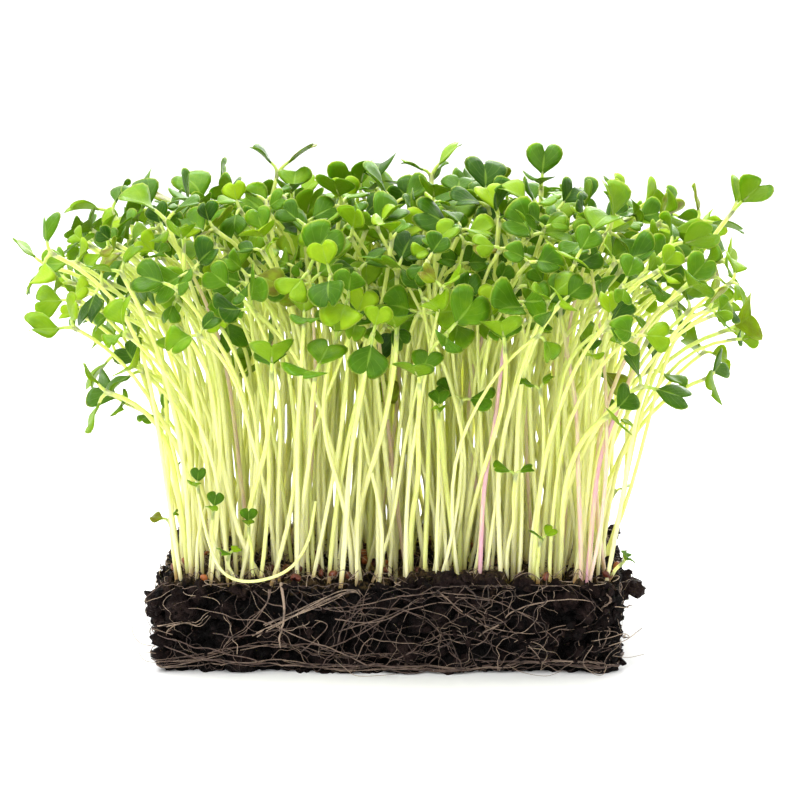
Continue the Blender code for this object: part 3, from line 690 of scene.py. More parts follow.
class Shape:
    """Points, faces and values per point, gathered until they become one piece."""

    def __init__(self):
        self.points = []
        self.faces = []
        self.finishes = []
        self.values = {key: [] for key in VALUES}
        self.total = 0

    def add(self, points, faces, finish=0, **values):
        """Takes in a part. Each value is one number, or one for each of the part's points."""
        count = len(points)
        self.faces += [tuple(i + self.total for i in face) for face in faces]
        self.finishes += [finish] * len(faces)
        self.points.append(np.asarray(points, float))
        for key in VALUES:
            self.values[key].append(np.broadcast_to(np.asarray(values.get(key, 0.0), float), (count,)))
        self.total += count

    def build(self, name, materials):
        """Makes the piece, with its materials, and lets it ride on the body."""
        mesh = bpy.data.meshes.new(name)
        mesh.from_pydata(np.concatenate(self.points).tolist(), [], self.faces)
        for material in materials:
            mesh.materials.append(material)
        mesh.polygons.foreach_set("material_index", self.finishes)
        for key in VALUES:
            layer = mesh.attributes.new(key, "FLOAT", "POINT")
            layer.data.foreach_set("value", np.concatenate(self.values[key]).astype(np.float32))
        mesh.shade_smooth()
        piece = bpy.data.objects.new(name, mesh)
        bpy.context.scene.collection.objects.link(piece)
        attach(piece, BODY)
        return piece


@functools.cache
def tube_faces(rings, sides):
    """The faces of a tube of rings with a point at each end, facing out."""
    faces = []
    for i in range(rings - 1):
        for j in range(sides):
            k = (j + 1) % sides
            faces.append((i * sides + j, i * sides + k, (i + 1) * sides + k, (i + 1) * sides + j))
    start, end = rings * sides, rings * sides + 1
    last = (rings - 1) * sides
    for j in range(sides):
        k = (j + 1) % sides
        faces.append((start, k, j))
        faces.append((end, last + j, last + k))
    return faces


def tube(path, radii, sides):
    """A round tube with closed ends: its points, its faces and each point's share of the path."""
    path = np.array([tuple(p) for p in path])
    radii = np.asarray(radii, float)
    ahead = np.gradient(path, axis=0)
    ahead /= np.linalg.norm(ahead, axis=1, keepdims=True) + 1e-12
    first = np.cross(ahead[0], (0.31, 0.93, 0.19))
    firsts = [first / np.linalg.norm(first)]
    for direction in ahead[1:]:
        turned = firsts[-1] - direction * (firsts[-1] @ direction)
        firsts.append(turned / (np.linalg.norm(turned) + 1e-12))
    firsts = np.array(firsts)
    seconds = np.cross(ahead, firsts)
    angle = (np.arange(sides) * 2 * math.pi / sides)[None, :, None]
    round_out = np.cos(angle) * firsts[:, None] + np.sin(angle) * seconds[:, None]
    rings = path[:, None] + radii[:, None, None] * round_out
    ends = np.stack((path[0] - ahead[0] * radii[0] * 0.5, path[-1] + ahead[-1] * radii[-1] * 0.5))
    share = np.linspace(0, 1, len(path))
    shares = np.concatenate((np.repeat(share, sides), (0.0, 1.0)))
    return np.concatenate((rings.reshape(-1, 3), ends)), tube_faces(len(path), sides), shares


def smooth_path(points, count):
    """A smooth path through points, as evenly spread points of a spline."""
    points = np.array([tuple(p) for p in points], float)
    padded = np.concatenate(([points[0] * 2 - points[1]], points, [points[-1] * 2 - points[-2]]))
    place = np.linspace(0, len(points) - 1, count)
    i = np.minimum(place.astype(int), len(points) - 2)
    t = (place - i)[:, None]
    a, b, c, d = (padded[i + k] for k in range(4))
    return 0.5 * (2 * b + (c - a) * t + (2 * a - 5 * b + 4 * c - d) * t**2 + (3 * b - a - 3 * c + d) * t**3)


@functools.cache
def blade_faces():
    """The faces of a blade: an upper and a lower sheet that share their margin and the notch."""
    rows, width = BLADE_ROWS, 2 * BLADE_COLUMNS + 1
    notch = rows * width
    inner = width - 2

    def upper(i, j):
        return notch if i == rows else i * width + j

    def lower(i, j):
        if i == rows or j in (0, width - 1):
            return upper(i, j)
        return notch + 1 + i * inner + j - 1

    faces = []
    for i in range(rows):
        for j in range(width - 1):
            top = (upper(i, j), upper(i + 1, j), upper(i + 1, j + 1), upper(i, j + 1))
            low = (lower(i, j), lower(i, j + 1), lower(i + 1, j + 1), lower(i + 1, j))
            faces += [tuple(dict.fromkeys(top)), tuple(dict.fromkeys(low))]
    for j in range(width - 1):
        faces.append(tuple(dict.fromkeys((upper(0, j), upper(0, j + 1), lower(0, j + 1), lower(0, j)))))
    return [face for face in faces if len(face) > 2]


def blade(leaf, thickness, rng):
    """A blade with its notch, fold, cup and wavy margin: points, faces and the values per point."""
    outline = smooth_path(LOBE, BLADE_ROWS + 1)[:-1]
    outline = outline * (rng.uniform(0.95, 1.04), rng.uniform(0.92, 1.08))
    notch = LOBE[-1][0] + rng.uniform(-0.09, 0.02)
    t = np.linspace(0, 1, BLADE_ROWS + 1)[:-1, None]
    w = np.linspace(-1, 1, 2 * BLADE_COLUMNS + 1)[None, :]
    along, across = outline[:, :1], outline[:, 1:]
    rib = notch * t
    reach = (rib + (along - rib) * np.abs(w)) * leaf.length
    aside = across * w * leaf.length
    cup, wave, phase = rng.uniform(-3.0, 5.0), rng.uniform(0.2, 1.0) * MM, rng.uniform(0, 6.28)
    height = leaf.fold * (np.hypot(aside, FOLD_ROUND) - FOLD_ROUND) - leaf.droop * reach**2 / leaf.length
    height = height + cup * (aside**2 - 0.3 * reach**2) * 12
    height = height + wave * w**2 * np.sin(t * 7.5 + phase + np.sign(w) * 1.3) * np.minimum(t * 3, 1)
    height = height - EDGE_CURL * w**6
    thick = thickness * (1 - w**4) * (0.85 + 0.15 * t)
    keel = KEEL_DEPTH * np.exp(-((aside / KEEL_WIDTH) ** 2)) * (1 - t)
    tip = height[-1, BLADE_COLUMNS] - leaf.droop * 0.1 * MM

    def place(reach, aside, height):
        axes = [np.array(v) for v in (leaf.out, leaf.wide, leaf.face)]
        flat = [np.ravel(np.broadcast_to(v, height.shape)) for v in (leaf.petiole + reach, aside, height)]
        return np.array(leaf.root) + sum(f[:, None] * a for f, a in zip(flat, axes))

    top = place(reach, aside, height + thick / 2)
    end = place(np.array([notch * leaf.length]), np.zeros(1), np.array([tip]))
    inner = np.s_[:, 1:-1]
    low = place(reach[inner], aside[inner], (height - thick / 2 - keel)[inner])
    wide = np.broadcast_to(w, height.shape)
    long = np.broadcast_to(t, height.shape)
    values = {
        "run": np.concatenate((long.ravel(), [1.0], long[inner].ravel())),
        "across": np.concatenate((wide.ravel(), [1.0], wide[inner].ravel())),
        "upper": np.concatenate((np.ones(wide.size + 1), np.zeros(low.shape[0]))),
    }
    return np.concatenate((top, end, low)), blade_faces(), values


def petiole_path(leaf):
    """The stalk of a leaf, from inside the stem's tip to its end under the blade."""
    start = leaf.root - leaf.tangent * 2.2 * MM
    bend = leaf.root + leaf.tangent * 0.5 * MM
    neck = leaf.place(leaf.petiole, 0)
    path = []
    for t in (0.0, 0.25, 0.5, 0.75, 1.0):
        u = 1 - t
        path.append(start * u * u + bend * (2 * u * t) + neck * t * t)
    for share in (0.18, 0.4):
        path.append(leaf.place(leaf.petiole + share * leaf.length, 0) - leaf.face * 0.22 * MM)
    scale = leaf.length / BLADE_LENGTH
    radii = [0.50, 0.56, 0.52, 0.47, 0.42, 0.30, 0.12]
    return path, [r * MM * (0.7 + 0.3 * scale) for r in radii]


def stem_path(sprout, centre, rng):
    """A stem's path from the end of its taproot up to its head, with a slight wave, and its radii."""
    foot = sprout.point(0.0)
    deep = Vector((centre.x, centre.y, foot.z + 2.9 * MM - sprout.depth))
    path = [deep, deep.lerp(foot, 0.5)]
    radii = [0.25 * MM, 0.75 * MM]
    phase, sway = rng.uniform(0, 6.28), rng.uniform(0.1, 0.55) * MM
    for i in range(STEM_RINGS + 1):
        t = i / STEM_RINGS
        swing = sway * math.sin(math.pi * t)
        wave = Vector((math.sin(t * 9 + phase), math.cos(t * 8 + phase), 0)) * swing
        path.append(sprout.point(t) + wave)
        radii.append(sprout.radius(t) * (1 - 0.22 * max(0, 1 - t * 12) + 0.18 * max(0, t * 8 - 7)))
    return path, radii


def add_sprout(shape, sprout, centre, thickness, rng):
    """Adds a stem and its two leaves to a shape."""
    shade, blush = rng.random(), sprout.blush
    path, radii = stem_path(sprout, centre, rng)
    points, faces, _ = tube(path, radii, STEM_SIDES)
    top = sprout.head.z
    height = np.clip((points[:, 2] - BLOCK_HEIGHT) / (top - BLOCK_HEIGHT), 0, 1)
    shape.add(points, faces, 0, run=height, tint=shade, upper=blush)
    for leaf in sprout.leaves:
        path, radii = petiole_path(leaf)
        points, faces, shares = tube(path, radii, PETIOLE_SIDES)
        shape.add(points, faces, 0, run=1.0 + 0.3 * shares, tint=shade, upper=blush)
        points, faces, values = blade(leaf, thickness, rng)
        tint = 1.0 + BROWN_TINT if rng.random() < BROWN_SHARE else min(max(rng.gauss(0.5, 0.29), 0), 1)
        shape.add(points, faces, 1, tint=tint, **values)


# Materials

class Finish:
    """A material with short ways to add nodes."""

    def __init__(self, name):
        self.material = bpy.data.materials.new(name)
        self.material.use_nodes = True
        self.tree = self.material.node_tree
        self.shader = self.tree.nodes["Principled BSDF"]

    def put(self, node_input, value):
        """Links an output to an input, or sets the input to a plain value."""
        if isinstance(value, bpy.types.NodeSocket):
            self.tree.links.new(value, node_input)
        elif node_input.type == "RGBA" and len(value) == 3:
            node_input.default_value = (*value, 1.0)
        else:
            node_input.default_value = value

    def set(self, **values):
        """Sets the shader's own inputs. Underscores stand for the spaces in their names."""
        for name, value in values.items():
            self.put(self.shader.inputs[name.replace("_", " ")], value)

    def value(self, name):
        """A value that the piece's points carry."""
        node = self.tree.nodes.new("ShaderNodeAttribute")
        node.attribute_name = name
        return node.outputs["Fac"]

    def place(self, scale=(1, 1, 1)):
        """Object coordinates, stretched by a scale."""
        coordinates = self.tree.nodes.new("ShaderNodeTexCoord").outputs["Object"]
        node = self.tree.nodes.new("ShaderNodeMapping")
        self.put(node.inputs["Vector"], coordinates)
        self.put(node.inputs["Scale"], scale)
        return node.outputs["Vector"]

    def noise(self, grain, detail=3.0, stretch=(1, 1, 1)):
        """Noise with grains of a size in metres."""
        node = self.tree.nodes.new("ShaderNodeTexNoise")
        self.put(node.inputs["Vector"], self.place(stretch))
        self.put(node.inputs["Scale"], 1 / grain)
        self.put(node.inputs["Detail"], detail)
        return node.outputs["Fac"]

    def cells(self, grain):
        """Distances to the middles of random cells of a size in metres."""
        node = self.tree.nodes.new("ShaderNodeTexVoronoi")
        self.put(node.inputs["Vector"], self.place())
        self.put(node.inputs["Scale"], 1 / grain)
        return node.outputs["Distance"]

    def math(self, operation, *values):
        """A sum of values or sockets."""
        node = self.tree.nodes.new("ShaderNodeMath")
        node.operation = operation
        for node_input, value in zip(node.inputs, values):
            self.put(node_input, value)
        return node.outputs[0]

    def span(self, value, low, high, start=0.0, end=1.0):
        """A value's range mapped smoothly to another, and kept inside it."""
        node = self.tree.nodes.new("ShaderNodeMapRange")
        node.interpolation_type = "SMOOTHSTEP"
        for name, number in (("Value", value), ("From Min", low), ("From Max", high), ("To Min", start),
                             ("To Max", end)):
            self.put(node.inputs[name], number)
        return node.outputs["Result"]

    def mix(self, share, first, second):
        """A colour between two colours."""
        node = self.tree.nodes.new("ShaderNodeMix")
        node.data_type = "RGBA"
        self.put(node.inputs[0], share)
        self.put(node.inputs[6], first)
        self.put(node.inputs[7], second)
        return node.outputs[2]

    def ramp(self, value, stops):
        """A run of colours, each with its place from 0 to 1."""
        node = self.tree.nodes.new("ShaderNodeValToRGB")
        self.put(node.inputs["Fac"], value)
        elements = node.color_ramp.elements
        while len(elements) < len(stops):
            elements.new(0.5)
        for element, (place, colour) in zip(elements, stops):
            element.position = place
            element.color = (*colour, 1.0)
        return node.outputs["Color"]

    def bump(self, height, depth):
        """Raises the surface by a height field, whose full range is a depth in metres."""
        node = self.tree.nodes.new("ShaderNodeBump")
        self.put(node.inputs["Strength"], 1.0)
        self.put(node.inputs["Distance"], depth)
        self.put(node.inputs["Height"], height)
        self.put(self.shader.inputs["Normal"], node.outputs["Normal"])


@functools.cache
def leaf_finish():
    """Waxy green leaf: veined, paler underneath, with a pale rim that is partly its own margin colour and
    partly a painted glow of light through the thin edge, and lit through by the light.
    """
    look = bpy.context.scene.microgreens_sprouts
    finish = Finish("seed_leaf")
    run, across = finish.value("run"), finish.math("ABSOLUTE", finish.value("across"))
    tint, upper = finish.value("tint"), finish.value("upper")
    cloud = finish.noise(3.5 * MM, 2.0)
    shade = finish.math("ADD", finish.math("MULTIPLY", tint, 0.75), finish.math("MULTIPLY", cloud, 0.35))
    green = finish.ramp(shade, ((0.12, look.leaf_deep), (0.55, look.leaf_green), (0.98, look.leaf_young)))
    rib = finish.span(across, 0.10, 0.02)
    branch = finish.math("FRACT", finish.math("SUBTRACT", finish.math("MULTIPLY", run, 6.0), across))
    branch = finish.span(finish.math("ABSOLUTE", finish.math("SUBTRACT", branch, 0.5)), 0.08, 0.0)
    veins = finish.math("MAXIMUM", rib, finish.math("MULTIPLY", branch, 0.35))
    brown = finish.math("MULTIPLY", finish.span(tint, 1.1, 1.3), finish.span(cloud, 0.35, 0.65, 0.35, 0.85))
    green = finish.mix(brown, green, look.leaf_brown)
    green = finish.mix(finish.math("MULTIPLY", veins, 0.45), green, look.leaf_vein)
    back = finish.mix(0.55, green, look.leaf_back)
    green = finish.mix(upper, back, green)
    # A pale rim along the edge: partly the leaf's own paler margin and partly a painted glow of the light
    # passing through the thin edge
    margin = finish.span(across, 0.90, 1.0)
    green = finish.mix(finish.math("MULTIPLY", margin, 0.55), green, look.leaf_margin_and_glow)
    finish.set(Base_Color=green, Roughness=finish.span(finish.noise(0.8 * MM), 0.3, 0.7, 0.36, 0.50))
    finish.set(Subsurface_Weight=0.25, Subsurface_Radius=(0.6, 1.0, 0.10), Subsurface_Scale=0.8 * MM)
    finish.set(Specular_IOR_Level=0.14)
    grain = finish.math("ADD", finish.noise(0.35 * MM), finish.math("MULTIPLY", veins, -0.9))
    finish.bump(grain, 0.10 * MM)
    return finish.material


@functools.cache
def stem_finish():
    """Juicy pale stem: cream at its foot, yellow-green above, with fine streaks along it."""
    look = bpy.context.scene.microgreens_sprouts
    finish = Finish("sprout_stem")
    run, tint = finish.value("run"), finish.value("tint")
    stops = (
        (0.04, look.stem_cream), (0.36, look.stem_yellow), (0.71, look.stem_green), (0.94, look.leaf_stalk),
    )
    height = finish.math("ADD", run, finish.math("MULTIPLY", tint, 0.16))
    colour = finish.ramp(finish.math("MULTIPLY", height, 0.74), stops)
    colour = finish.mix(finish.span(tint, 0.55, 1.0, 0.0, 0.60), colour, look.stem_green)
    streak = finish.noise(0.9 * MM, 2.0, (1, 1, 0.08))
    colour = finish.mix(finish.span(streak, 0.35, 0.8, 0.0, 0.35), colour, look.stem_cream)
    grime = finish.math("MULTIPLY", finish.span(run, 0.060, 0.005), finish.span(tint, 0.1, 0.7, 0.35, 0.95))
    colour = finish.mix(grime, colour, look.stem_foot)
    blush = finish.math("MULTIPLY", finish.value("upper"), finish.span(streak, 0.3, 0.6, 0.55, 0.95))
    blush = finish.math("MULTIPLY", blush, finish.span(run, 1.0, 0.75))
    colour = finish.mix(blush, colour, look.stem_blush)
    finish.set(Base_Color=colour, Roughness=finish.span(streak, 0.2, 0.8, 0.30, 0.45))
    finish.set(Subsurface_Weight=0.6, Subsurface_Radius=(1.0, 1.0, 0.40), Subsurface_Scale=2.0 * MM)
    finish.set(Specular_IOR_Level=0.35)
    finish.bump(finish.noise(0.5 * MM, 2.0, (1, 1, 0.1)), 0.06 * MM)
    return finish.material


@functools.cache
def soil_finish():
    """Moist potting soil: near black, with brown and grey grains, painted darker in the hollows of its relief
    and paler on its raised clods as painted shade and painted light.
    """
    look = bpy.context.scene.microgreens_soil
    finish = Finish("potting_soil")
    tone_and_relief_shade = finish.math("ADD", finish.math("MULTIPLY", finish.noise(1.8 * MM, 6.0), 0.75),
                        finish.math("MULTIPLY", finish.value("tint"), 0.16))
    # Adding the run value paints shade into the skin's hollows and light onto its raised clods; on the crumbs
    # the run value is random
    tone_and_relief_shade = finish.math("ADD", tone_and_relief_shade, finish.math("MULTIPLY", finish.value("run"), 0.5))
    colour = finish.ramp(tone_and_relief_shade, ((0.52, look.dark), (0.78, look.brown), (1.0, look.grey)))
    scraps = finish.span(finish.noise(1.6 * MM, 4.0), 0.42, 0.60)
    litter = finish.math("MULTIPLY", finish.value("upper"), scraps)
    colour = finish.mix(litter, colour, look.litter)
    fleck = finish.span(finish.cells(1.3 * MM), 0.16, 0.10)
    colour = finish.mix(finish.math("MULTIPLY", fleck, 0.35), colour, look.fleck)
    finish.set(Base_Color=colour, Roughness=finish.span(finish.noise(1.5 * MM), 0.35, 0.65, 0.45, 0.90))
    finish.set(Specular_IOR_Level=0.11)
    grains = finish.math("MULTIPLY", finish.cells(0.9 * MM), -0.8)
    finish.bump(finish.math("ADD", finish.noise(0.7 * MM, 6.0), grains), 0.85 * MM)
    return finish.material


@functools.cache
def root_finish():
    """Fine roots, from tan to off-white, with soil caught on them."""
    look = bpy.context.scene.microgreens_roots
    finish = Finish("root_fibre")
    colour = finish.ramp(finish.value("tint"), ((0.0, look.brown), (0.5, look.tan), (1.0, look.pale)))
    dirt = finish.span(finish.noise(2.2 * MM, 4.0), 0.45, 0.75)
    colour = finish.mix(finish.math("MULTIPLY", dirt, 0.75), colour, look.dirt)
    finish.set(Base_Color=colour, Roughness=finish.span(finish.noise(1.0 * MM), 0.3, 0.7, 0.5, 0.8))
    finish.set(Subsurface_Weight=0.15, Subsurface_Radius=(1.0, 0.8, 0.5), Subsurface_Scale=0.5 * MM)
    finish.bump(finish.noise(0.3 * MM), 0.08 * MM)
    return finish.material


@functools.cache
def husk_finish():
    """Papery seed husks, from orange-brown to dark red."""
    look = bpy.context.scene.microgreens_soil
    finish = Finish("seed_husk")
    stops = ((0.0, look.husk_dark), (0.6, look.husk_red), (1.0, look.husk_orange))
    colour = finish.ramp(finish.value("tint"), stops)
    colour = finish.mix(finish.span(finish.noise(0.6 * MM), 0.5, 0.8, 0.0, 0.5), colour, look.husk_dark)
    finish.set(Base_Color=colour, Roughness=finish.span(finish.noise(0.5 * MM), 0.3, 0.7, 0.28, 0.45))
    finish.bump(finish.cells(0.35 * MM), 0.08 * MM)
    return finish.material


# The soil's pieces

BIG_CRUMB = 1.6 * MM
LARGEST_CRUMB = 2.1 * MM
CRUMBS_PER_CLOD = 18


def skin_point(share_x, share_y, z):
    """A point of the block's rounded box and the way out of the soil there, from a point of the plain box."""
    half_width, half_depth = soil_half_sizes(z)
    box = Vector((share_x * half_width, share_y * half_depth, z))
    inner = Vector((
        max(-half_width + CORNER_ROUND, min(half_width - CORNER_ROUND, box.x)),
        max(-half_depth + CORNER_ROUND, min(half_depth - CORNER_ROUND, box.y)),
        min(box.z, BLOCK_HEIGHT - RIM_ROUND),
    ))
    offset = box - inner
    if offset.length < 1e-9:
        return box, Vector((0, 0, 1))
    if max(abs(offset.x), abs(offset.y)) < 1e-9:
        return inner + Vector((0, 0, RIM_ROUND)), Vector((0, 0, 1))
    way = Vector((offset.x / CORNER_ROUND, offset.y / CORNER_ROUND, offset.z / RIM_ROUND)).normalized()
    point = inner + Vector((way.x * CORNER_ROUND, way.y * CORNER_ROUND, way.z * RIM_ROUND))
    return point, way


def weathered(point, way, out):
    """A point of the skin moved out by the soil's relief. The underside stays flat."""
    moved = point + way * out
    if point.z < 1e-6:
        moved.z = 0.0
    moved.z = max(moved.z, 0.0)
    return moved


def soil_mesh():
    """The block's skin, as five grids that meet at the rim and corners, and a flat underside."""
    columns = round(BLOCK_WIDTH / SOIL_CELL)
    rows = round(BLOCK_DEPTH / SOIL_CELL)
    layers = round(BLOCK_HEIGHT / SOIL_CELL)
    bm = bmesh.new()
    found, heights, ups = {}, [], []

    def corner(i, j, k):
        if (i, j, k) not in found:
            share_x, share_y, z = i / columns * 2 - 1, j / rows * 2 - 1, k / layers * BLOCK_HEIGHT
            point, way = skin_point(share_x, share_y, z)
            out = soil_relief(point, way)
            found[(i, j, k)] = bm.verts.new(weathered(point, way, out))
            # The relief's height becomes the skin's run value, which the soil's material turns into painted
            # shade in the hollows and painted light on the raised clods
            heights.append(out / (5 * MM) + 0.6)
            ups.append(way.z * min(1.0, (1 - max(abs(share_x), abs(share_y))) * 14 - 0.6))
        return found[(i, j, k)]

    for i in range(columns):
        for j in range(rows):
            bm.faces.new([corner(*c, layers) for c in ((i, j), (i + 1, j), (i + 1, j + 1), (i, j + 1))])
        for k in range(layers):
            bm.faces.new([corner(i, 0, k), corner(i + 1, 0, k), corner(i + 1, 0, k + 1), corner(i, 0, k + 1)])
            bm.faces.new([corner(i, rows, k), corner(i, rows, k + 1), corner(i + 1, rows, k + 1),
                          corner(i + 1, rows, k)])
    for j in range(rows):
        for k in range(layers):
            bm.faces.new([corner(0, j, k), corner(0, j, k + 1), corner(0, j + 1, k + 1), corner(0, j + 1, k)])
            bm.faces.new([corner(columns, j, k), corner(columns, j + 1, k), corner(columns, j + 1, k + 1),
                          corner(columns, j, k + 1)])
    ring = [(i, 0) for i in range(columns)] + [(columns, j) for j in range(rows)]
    ring += [(i, rows) for i in range(columns, 0, -1)] + [(0, j) for j in range(rows, 0, -1)]
    bm.faces.new([corner(i, j, 0) for i, j in reversed(ring)])
    points = np.array([v.co for v in bm.verts])
    bm.verts.index_update()
    faces = [tuple(v.index for v in face.verts) for face in bm.faces]
    bm.free()
    return points, faces, {"run": np.clip(heights, 0, 1), "upper": np.clip(ups, 0, 1)}


@functools.cache
def ball(fineness):
    """A round ball's points and faces."""
    bm = bmesh.new()
    bmesh.ops.create_icosphere(bm, subdivisions=fineness, radius=1.0)
    bm.verts.index_update()
    points = np.array([v.co for v in bm.verts])
    faces = [tuple(v.index for v in face.verts) for face in bm.faces]
    bm.free()
    return points, faces


def turned(points, rng):
    """Points turned at random."""
    turn = Euler([rng.uniform(0, 2 * math.pi) for _ in range(3)]).to_matrix()
    return points @ np.array(turn).T


def crumb(centre, size, rng):
    """A rough lump of soil: points and faces."""
    points, faces = ball(3 if size > BIG_CRUMB else 2)
    points = points.copy()
    for _ in range(9):
        way = np.array(Vector([rng.gauss(0, 1) for _ in range(3)]).normalized())
        points -= np.maximum(points @ way - rng.uniform(0.32, 0.82), 0)[:, None] * way
    if size > BIG_CRUMB:
        offset = Vector([rng.uniform(-50, 50) for _ in range(3)])
        points *= np.array([1 + 0.4 * noise.noise(Vector(p) * 3.5 + offset) for p in points])[:, None]
    shape = np.array([rng.uniform(0.7, 1.3) for _ in range(3)])
    return turned(points * shape, rng) * size + np.array(centre), faces


def random_skin(rng, top_share=0.35):
    """A random place on the block's skin, with the way out of it."""
    if rng.random() < top_share:
        point, way = skin_point(rng.uniform(-0.99, 0.99), rng.uniform(-0.99, 0.99), BLOCK_HEIGHT)
    else:
        z = rng.uniform(0.05, 1.0) * BLOCK_HEIGHT
        side = rng.choice((-1, 1))
        if rng.random() < BLOCK_WIDTH / (BLOCK_WIDTH + BLOCK_DEPTH):
            point, way = skin_point(rng.uniform(-1, 1), side, z)
        else:
            point, way = skin_point(side, rng.uniform(-1, 1), z)
    return weathered(point, way, soil_relief(point, way)), way


def husk(centre, size, rng):
    """An open seed husk: a round shell with a ragged mouth."""
    rows, sides = 7, 12
    rim = math.radians(rng.uniform(95, 140))
    notches = [rng.uniform(-0.16, 0.16) for _ in range(sides)]
    rings = []
    for layer in (1.0, 0.84):
        order = range(1, rows + 1) if layer == 1.0 else range(rows, 0, -1)
        for i in order:
            for j in range(sides):
                angle = rim * i / rows * (1 + notches[j] * (i / rows) ** 3)
                turn = 2 * math.pi * j / sides
                reach = layer * math.sin(angle)
                rings.append((reach * math.cos(turn), reach * math.sin(turn), layer * math.cos(angle)))
    points = np.array(rings + [(0, 0, 1.0), (0, 0, 0.84)]) * (1.0, 0.9, 0.72)
    faces = []
    count = 2 * rows
    for i in range(count - 1):
        for j in range(sides):
            k = (j + 1) % sides
            faces.append((i * sides + j, (i + 1) * sides + j, (i + 1) * sides + k, i * sides + k))
    last = (count - 1) * sides
    for j in range(sides):
        k = (j + 1) % sides
        faces.append((count * sides, j, k))
        faces.append((count * sides + 1, last + k, last + j))
    return turned(points, rng) * size + np.array(centre), faces


# The roots' pieces

ROUND_LENGTH = 2 * (BLOCK_WIDTH + BLOCK_DEPTH)
THREAD_STEP = 1.5 * MM
THREAD_LOWEST = 0.5 * MM
THREAD_TOP_GAP = 0.6 * MM
PACKED_TOP_GAP = 4 * MM
PACKED_RADIUS = 0.17 * MM
PACKED_DRIFT = 1.3 * MM
PACKED_DRIFT_SIZE = 6 * MM
PACKED_STEPS = 40
HUG_LOWEST = -2.2 * MM
HUG_HIGHEST = 1.8 * MM
BAND_MIDDLE = 2.0 * MM
BAND_WAVE = 0.7 * MM
BAND_WANDER = 0.5 * MM
BAND_LOWEST = 0.4 * MM
BAND_LIFT = 0.3 * MM


def around_block(share, z, off):
    """A point on the way round the block at a height, a little off the soil of its four sides.

    share is how far round it is, from the front left corner along the front.
    """
    half_width, half_depth = soil_half_sizes(z)
    flat_x = half_width + off - CORNER_ROUND
    flat_y = half_depth + off - CORNER_ROUND
    bend = CORNER_ROUND * math.pi / 2
    left = (share % 1.0) * (4 * (flat_x + flat_y) + 4 * bend)
    sides = (
        ((-flat_x, -flat_y), (1, 0), 2 * flat_x),
        ((flat_x, -flat_y), (0, 1), 2 * flat_y),
        ((flat_x, flat_y), (-1, 0), 2 * flat_x),
        ((-flat_x, flat_y), (0, -1), 2 * flat_y),
    )
    for start, ahead, run in sides:
        pivot = Vector((*start, z))
        ahead = Vector((*ahead, 0))
        outward = Vector((ahead.y, -ahead.x, 0))
        if left <= run:
            return pivot + ahead * left + outward * CORNER_ROUND
        left -= run
        if left <= bend:
            turn = left / CORNER_ROUND
            return pivot + ahead * run + (outward * math.cos(turn) + ahead * math.sin(turn)) * CORNER_ROUND
        left -= bend
    return pivot


def packed_threads(rng):
    """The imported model's root threads, each as points from the band up over one side."""
    threads = []
    for _ in range(ROOT_THREADS):
        start = rng.random()
        reach = rng.choice((-1, 1)) * rng.uniform(0.05, 0.13)
        climb = rng.uniform(6, 17) * MM
        wave = rng.uniform(0.4, 1.6) * MM
        phase = rng.uniform(0, math.pi)
        off = ROOT_GAP + ROOT_RADIUS + rng.uniform(0.05, 0.4) * MM
        points = []
        for i in range(ROOT_POINTS):
            t = i / (ROOT_POINTS - 1)
            z = ROOT_BAND_HEIGHT + climb * math.sin(t * math.pi * 0.62) + wave * math.sin(t * 7 + phase) * t
            z = min(z, BLOCK_HEIGHT - PACKED_TOP_GAP)
            points.append(around_block(start + reach * t**0.8, z, off))
        threads.append(points)
    return threads


def surface_off(point):
    """How far the soil stands out of the plain sides at a point beside them."""
    if abs(point.x) / BLOCK_WIDTH > abs(point.y) / BLOCK_DEPTH:
        return soil_relief(point, Vector((math.copysign(1, point.x), 0, 0)))
    return soil_relief(point, Vector((0, math.copysign(1, point.y), 0)))


def hug(shares, heights, lift):
    """A path that lies on the soil of the block's sides, and bridges its dips."""
    offs = [surface_off(around_block(share, z, 0.0)) for share, z in zip(shares, heights)]
    path = []
    for i, (share, z) in enumerate(zip(shares, heights)):
        near = max(offs[max(i - 2, 0):i + 3])
        off = 0.75 * near + 0.25 * offs[i] + lift
        path.append(around_block(share, z, min(max(off, HUG_LOWEST), HUG_HIGHEST)))
    return path


def front_share(x):
    """How far round the block a place on its front is."""
    half_width, half_depth = soil_half_sizes(BLOCK_HEIGHT / 2)
    corners = 4 * (2 - math.pi / 2) * CORNER_ROUND
    return (x + half_width - CORNER_ROUND) / (4 * (half_width + half_depth) - corners)


def fine_thread(rng, radius):
    """A hair-fine root over the block's side that winds along the soil."""
    share = rng.random() if rng.random() < 0.75 else front_share(rng.uniform(-26, 36) * MM)
    ahead = rng.choice((-1, 1))
    z = BLOCK_HEIGHT * rng.uniform(0.05, 0.97)
    turn = rng.gauss(0, 0.6)
    curl = rng.gauss(0, 0.08)
    shares, heights = [], []
    for _ in range(rng.randint(8, 34)):
        turn = turn * 0.92 + rng.gauss(0, 0.36) + curl
        share += ahead * THREAD_STEP * math.cos(turn) / ROUND_LENGTH
        z += THREAD_STEP * math.sin(turn)
        if not THREAD_LOWEST < z < BLOCK_HEIGHT - THREAD_TOP_GAP:
            turn = -turn
            z = min(max(z, THREAD_LOWEST), BLOCK_HEIGHT - THREAD_TOP_GAP)
        shares.append(share)
        heights.append(z)
    return hug(shares, heights, radius * rng.uniform(-0.4, 1.4))


# Settings

def colour(name, description, default):
    """A setting that holds a colour."""
    return FloatVectorProperty(name=name, description=description, subtype="COLOR", size=3, min=0.0, max=1.0,
                               default=default)


def length(name, description, default):
    """A setting that holds a length."""
    return FloatProperty(name=name, description=description, default=default, min=0.0, precision=5,
                         unit="LENGTH")


